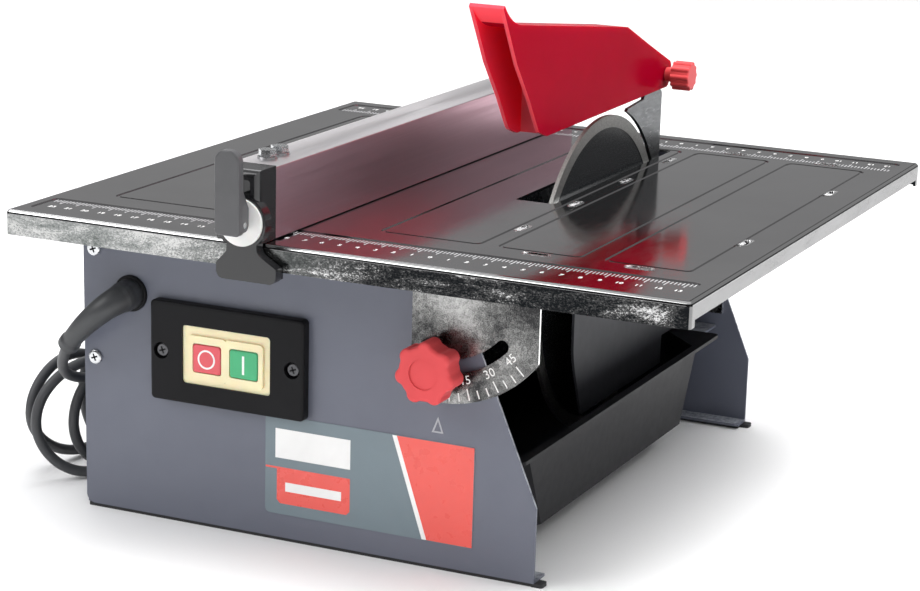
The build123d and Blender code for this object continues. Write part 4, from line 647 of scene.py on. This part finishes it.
def tube(name, line, radius_at, around=28):
    """Closed tube along a line; radius_at(t) gives the radius in metres, t from 0 to 1 by length."""
    lengths = [0.0]
    for a, b in zip(line, line[1:]):
        lengths.append(lengths[-1] + (b - a).length)
    bm = bmesh.new()
    rings = []
    side = Vector((0, 0, 1))
    for i, here in enumerate(line):
        tangent = (line[min(i + 1, len(line) - 1)] - line[max(i - 1, 0)]).normalized()
        side = (side - tangent * side.dot(tangent)).normalized()
        other = tangent.cross(side)
        radius = radius_at(lengths[i] / lengths[-1])
        turns = [2 * pi * k / around for k in range(around)]
        rings.append([bm.verts.new(here + (side * cos(t) + other * sin(t)) * radius) for t in turns])
    for low, high in zip(rings, rings[1:]):
        for k in range(around):
            bm.faces.new((low[k], low[(k + 1) % around], high[(k + 1) % around], high[k]))
    bm.faces.new(rings[0][::-1])
    bm.faces.new(rings[-1])
    bmesh.ops.recalc_face_normals(bm, faces=bm.faces)
    mesh = bpy.data.meshes.new(name)
    bm.to_mesh(mesh)
    bm.free()
    return mesh


# ---------------------------------------------------------------- lead
# The route in mm: out of the boot, round the loose coil, then along the floor to the plug.
CORD_D = 6.0
LEAD = [(-166.2, -176.5, 93.3), (-174.6, -171, 82.6), (-181.5, -157.5, 70.5), (-184, -142, 64),
        (-179.5, -127.5, 60.5)]
TAIL = [(-214.8, -49, 28.5), (-213.5, -37, 14), (-211, -20, 5.5), (-206.5, 0, 4), (-201.5, 19, 9.5),
        (-198, 36.5, 19.3)]
COIL_FRONTS = [(-200, -156), (-213, -141.5), (-197, -127), (-192, -106), (-198, -97), (-204.5, -92),
               (-211, -94), (-222.3, -133)]
COIL_REARS = [(-168.5, -111), (-168.5, -82), (-173, -46), (-180.5, -32), (-187.5, -29), (-194.5, -29),
              (-206.8, -42), (-216, -66)]
COIL_TOPS = [62, 68, 67, 66, 66, 66, 67, 62]
COIL_FLOOR = 3.1
COIL_FIRST, COIL_LAST, TURN_POINTS = 0.16, 7.16, 14


def between(values, where):
    """Value at a fractional place in a list of numbers or of (x, y) pairs."""
    where = min(max(where, 0.0), len(values) - 1.0)
    i = min(int(where), len(values) - 2)
    part = where - i
    a, b = values[i], values[i + 1]
    if isinstance(a, tuple):
        return tuple(p + (q - p) * part for p, q in zip(a, b))
    return a + (b - a) * part


coil = []
for step in range(round((COIL_LAST - COIL_FIRST) * TURN_POINTS) + 1):
    turn = COIL_FIRST + step / TURN_POINTS
    front = between(COIL_FRONTS, turn + 0.25)
    rear = between(COIL_REARS, turn - 0.25)
    lift = (between(COIL_TOPS, turn) - COIL_FLOOR) / 2
    swing = sin(2 * pi * turn)
    coil.append((
        (front[0] + rear[0]) / 2 + (rear[0] - front[0]) / 2 * swing,
        (front[1] + rear[1]) / 2 + (rear[1] - front[1]) / 2 * swing,
        COIL_FLOOR + lift + lift * cos(2 * pi * turn),
    ))
cord_curve = nurbs(in_metres(LEAD + coil + TAIL), "lead", 6)
cord_curve.bevel_depth = CORD_D / 2 * MM
cord_curve.bevel_resolution = 4
cord_curve.use_fill_caps = True
lead = piece("lead", cord_curve, "cord", "base")
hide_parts("cord_run", "cord_coil", "cord_tail")

BOOT = [(-134.5, -160, 122.9), (-134.5, -178.5, 122.9), (-154.5, -182, 106.0), (-166.2, -176.5, 93.3)]
BOOT_ROOT_R, BOOT_TIP_R, BEAD_H, COLLAR_H = 8.3, 5.3, 0.55, 0.35
# Places along the boot run from 0 at the panel to 1 at the tip.
TAPER_FROM, TAPER_SPAN, TAPER_POWER = 0.12, 0.76, 0.8
COLLAR_FROM, COLLAR_TO, BEAD_FROM = 0.16, 0.22, 0.93


def boot_radius(t):
    """Wide at the panel, a long taper, a low collar near the panel and a bead at the tip."""
    along = min(1.0, max(0.0, (t - TAPER_FROM) / TAPER_SPAN))
    taper = BOOT_ROOT_R + (BOOT_TIP_R - BOOT_ROOT_R) * along ** TAPER_POWER
    bead = BEAD_H if t > BEAD_FROM else 0.0
    collar = COLLAR_H if COLLAR_FROM < t < COLLAR_TO else 0.0
    return (taper + bead + collar) * MM


boot_line = centre_line(in_metres(BOOT), "boot_line", 24)
boot = piece("cord_boot", tube("cord_boot", boot_line, boot_radius), "boot", "base", 40)
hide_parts("strain_relief")

# ---------------------------------------------------------------- rules
# The ruled bands lie a little below the top. Figures count centimetres both ways from the blade.
TABLE_Z = TABLE_BOX[1].z / MM
BAND_Z = TABLE_Z - 0.5
RULE_Y, RULE_LEFT, RULE_RIGHT, ZERO_X = 173.0, -180, 180, 46
TICK_PITCH, TICK_W, TICK_SHORT, TICK_LONG, TICK_ROOT = 2, 0.55, 4.6, 8.0, RULE_Y - 10.5
FIGURE_Y, FIGURE_SIZE, FIRST_CM, LAST_CM = RULE_Y + 4.6, 4.4, -22, 13
PRINT = 0.12


def on_band(a, b, c):
    return a, b, BAND_Z + c


for end, name in ((-1, "front"), (1, "rear")):
    ticks = []
    for x in range(RULE_LEFT, RULE_RIGHT + 1, TICK_PITCH):
        length = TICK_LONG if (x - ZERO_X) % 10 == 0 else TICK_SHORT
        ticks.append(bar(x, end * (TICK_ROOT + length / 2), TICK_W, length))
    prisms(f"rule_ticks_{name}", ticks, on_band, 0.0, PRINT, "tick", "table")
    labels = []
    for cm in range(FIRST_CM, LAST_CM + 1):
        spot = Matrix.Translation((ZERO_X + 10 * cm, end * FIGURE_Y, BAND_Z + PRINT / 2))
        turned = Matrix.Rotation(0.0 if end < 0 else pi, 4, "Z")
        labels.append((str(abs(cm)), spot @ turned))
    numbers(f"rule_numbers_{name}", labels, FIGURE_SIZE, PRINT, "white", "table")

# ---------------------------------------------------------------- drain rims
DRAINS_ALONG_Y = ((59.7, -95.0), (59.7, -24.0), (59.7, 49.4), (59.7, 119.8), (171.2, -65.4), (171.2, 79.6))
DRAINS_ALONG_X = ((89.0, -145.4), (144.0, -145.6), (87.0, 162.0), (144.0, 160.2))
DRAIN_L, DRAIN_W, RIM_W, RIM_BELOW, RIM_ABOVE = 14.0, 3.5, 0.9, 0.6, 0.25


def stadium(x, y, length, width, along_y, steps=8):
    """Round-ended slot outline about (x, y)."""
    radius, reach = width / 2, (length - width) / 2
    outline = []
    for side in (1, -1):
        for k in range(steps + 1):
            angle = pi * k / steps - pi / 2
            outline.append((side * (reach + radius * cos(angle)), side * radius * sin(angle)))
    return [(x - b, y + a) if along_y else (x + a, y + b) for a, b in outline]


def band(outer, inner):
    """Quads between two closed outlines with the same number of points."""
    count = len(outer)
    return [[outer[i], outer[(i + 1) % count], inner[(i + 1) % count], inner[i]] for i in range(count)]


# The raised rims round the drain slots are near-white metal: a painted highlight on the slot lips.
rims = []
for spots, along_y in ((DRAINS_ALONG_Y, True), (DRAINS_ALONG_X, False)):
    for x, y in spots:
        outer = stadium(x, y, DRAIN_L + 2 * RIM_W, DRAIN_W + 2 * RIM_W, along_y)
        rims += band(outer, stadium(x, y, DRAIN_L, DRAIN_W, along_y))
prisms("drain_rims", rims, lambda a, b, c: (a, b, TABLE_Z + c), -RIM_BELOW, RIM_ABOVE, "drain_highlight", "table")

# ---------------------------------------------------------------- screw recesses
PANEL_SCREW_R, SWITCH_SCREW_R = 4.0, 3.8
CROSS_L, CROSS_W, CROSS_TURN, CROSS_DEPTH, CROSS_PROUD = 4.0, 0.9, radians(20), 0.2, 0.04


def cross_recesses(node, spots):
    """Black crosses in the screw heads of a node, at (x, z) spots on its front: painted shade in the cross
    recesses.
    """
    crosses = []
    for x, z in spots:
        crosses.append(bar(x, z, CROSS_L, CROSS_W, CROSS_TURN))
        crosses.append(bar(x, z, CROSS_W, CROSS_L, CROSS_TURN))
    front = box_mm(node)[0].y
    prisms(f"{node}_recess", crosses, on_front(front), -CROSS_DEPTH, CROSS_PROUD, "black", "base")


low, high = box_mm("panel_screws")
left = low.x + PANEL_SCREW_R
cross_recesses("panel_screws", [(left, low.z + PANEL_SCREW_R), (left, high.z - PANEL_SCREW_R)])
low, high = box_mm("switch_screws")
foot = low.z + SWITCH_SCREW_R
cross_recesses("switch_screws", [(low.x + SWITCH_SCREW_R, foot), (high.x - SWITCH_SCREW_R, foot)])

# ---------------------------------------------------------------- bevel scale and pointer
PIVOT_X, PIVOT_Z, MARK_OUT_R, SCALE_FIGURE_R = 47.5, 156.5, 65.0, 54.6
MARK_W, MARK_SHORT, MARK_LONG, SCALE_FIGURE_SIZE = 0.7, 4.4, 6.2, 6.4
SCALE_END, MARK_STEP, FIGURE_STEP = 45, 5, 15
# The knobs clear the brackets by this much, so the scale's print has to be thinner.
KNOB_GAP, SCALE_PRINT = 0.4, 0.06


def scale_spot(radius, degrees):
    angle = radians(degrees)
    return PIVOT_X + radius * sin(angle), PIVOT_Z - radius * cos(angle)


def bevel_scale(name, face, outward, spin):
    """Ticks and figures on a bracket's face. Outward is -1 at the front and 1 at the rear."""
    marks = []
    for degrees in range(0, SCALE_END + 1, MARK_STEP):
        length = MARK_LONG if degrees % FIGURE_STEP == 0 else MARK_SHORT
        x, z = scale_spot(MARK_OUT_R - length / 2, degrees)
        marks.append(bar(x, z, MARK_W, length, radians(degrees)))

    def on_face(a, b, c):
        return a, face + outward * c, b

    prisms(f"bevel_ticks_{name}", marks, on_face, 0.0, SCALE_PRINT, "white", "table")
    figures = []
    for degrees in range(FIGURE_STEP, SCALE_END + 1, FIGURE_STEP):
        x, z = scale_spot(SCALE_FIGURE_R, degrees)
        spot = Matrix.Translation((x, face + outward * SCALE_PRINT / 2, z))
        lean = Matrix.Rotation(-outward * radians(degrees), 4, "Z")
        figures.append((str(degrees), spot @ spin @ lean))
    numbers(f"bevel_numbers_{name}", figures, SCALE_FIGURE_SIZE, SCALE_PRINT, "white", "table")


upright = Matrix.Rotation(radians(90), 4, "X")
bevel_scale("front", box_mm("bevel_knob_front")[1].y + KNOB_GAP, -1, upright)
bevel_scale("rear", box_mm("bevel_knob_rear")[0].y - KNOB_GAP, 1, upright @ Matrix.Rotation(pi, 4, "Y"))

panel_front = box_mm("front_panel")[0].y
pointer_outside = [(43.0, 73.6), (49.6, 73.6), (46.4, 82.2)]
pointer_inside = [(44.3, 74.4), (48.4, 74.4), (46.4, 80.0)]
POINTER_PRINT = 0.25
prisms("bevel_pointer", band(pointer_outside, pointer_inside), on_front(panel_front), 0.0, POINTER_PRINT,
       "pale", "base")

# ---------------------------------------------------------------- label and switch marks
label_low, label_high = box_mm("rating_label")
LEFT, FOOT, RIGHT, TOP = label_low.x, label_low.z, label_high.x, label_high.z
MARGIN, RED_PRINT, WHITE_PRINT = 0.3, 0.05, 0.06
# The red corner's edge slants from RED_TOP down to RED_FOOT, with a white stripe along it.
RED_TOP, RED_FOOT, STRIPE_W = RIGHT - 44.0, RIGHT - 26.0, 2.6
BLOCK_LEFT, BLOCK_RIGHT, BLOCK_FOOT, BLOCK_TOP, CHAMFER = LEFT + 7, LEFT + 50, FOOT + 6, FOOT + 25, 2
red_corner = [(RED_TOP, TOP - MARGIN), (RED_FOOT, FOOT + MARGIN), (RIGHT - MARGIN, FOOT + MARGIN),
              (RIGHT - MARGIN, TOP - MARGIN)]
red_block = [(BLOCK_LEFT, BLOCK_FOOT + CHAMFER), (BLOCK_LEFT + CHAMFER, BLOCK_FOOT),
             (BLOCK_RIGHT - CHAMFER, BLOCK_FOOT), (BLOCK_RIGHT, BLOCK_FOOT + CHAMFER),
             (BLOCK_RIGHT, BLOCK_TOP), (BLOCK_LEFT, BLOCK_TOP)]
red_line = rectangle(LEFT + MARGIN, BLOCK_TOP, BLOCK_RIGHT, BLOCK_TOP + 1)
stripe = [(RED_TOP - STRIPE_W, TOP - MARGIN), (RED_FOOT - STRIPE_W, FOOT + MARGIN), (RED_FOOT, FOOT + MARGIN),
          (RED_TOP, TOP - MARGIN)]
white_block = rectangle(LEFT + 6, FOOT + 31, LEFT + 50, FOOT + 47)
white_line = rectangle(LEFT + 12, FOOT + 13, LEFT + 45, FOOT + 18)
on_label = on_front(label_low.y)
prisms("label_red_blocks", [red_corner, red_block, red_line], on_label, 0.0, RED_PRINT, "label_red", "base")
prisms("label_white_lines", [stripe, white_block, white_line], on_label, 0.0, WHITE_PRINT, "white", "base")

SYMBOL_PRINT, RING_IN, RING_OUT, RING_STEPS, STROKE_W, STROKE_L = 0.1, 4.2, 5.2, 36, 1.3, 10.0


def circle(x, z, radius):
    turns = [2 * pi * k / RING_STEPS for k in range(RING_STEPS)]
    return [(x + radius * cos(turn), z + radius * sin(turn)) for turn in turns]


low, high = box_mm("off_button")
middle = (low + high) / 2
ring = band(circle(middle.x, middle.z, RING_IN), circle(middle.x, middle.z, RING_OUT))
prisms("off_symbol", ring, on_front(low.y), 0.0, SYMBOL_PRINT, "white", "off_switch")
low, high = box_mm("on_button")
middle = (low + high) / 2
stroke = bar(middle.x, middle.z, STROKE_W, STROKE_L)
prisms("on_symbol", [stroke], on_front(low.y), 0.0, SYMBOL_PRINT, "white", "on_switch")

# ---------------------------------------------------------------- floor
FLOOR_HALF = 9.0
floor_mesh = bpy.data.meshes.new("floor")
bm = bmesh.new()
bmesh.ops.create_grid(bm, x_segments=1, y_segments=1, size=FLOOR_HALF)
bm.to_mesh(floor_mesh)
bm.free()
floor_finish = Finish("floor_pale", (0.93, 0.93, 0.93), 0.7)
cloudy = floor_finish.noise(3)
floor_finish.color(floor_finish.tones(cloudy, (0.3, (0.925, 0.925, 0.93)), (0.7, (0.94, 0.94, 0.94))))
floor_mesh.materials.append(floor_finish.material)
floor = bpy.data.objects.new("floor", floor_mesh)
bpy.context.scene.collection.objects.link(floor)

# ---------------------------------------------------------------- scene update
bpy.context.view_layer.update()
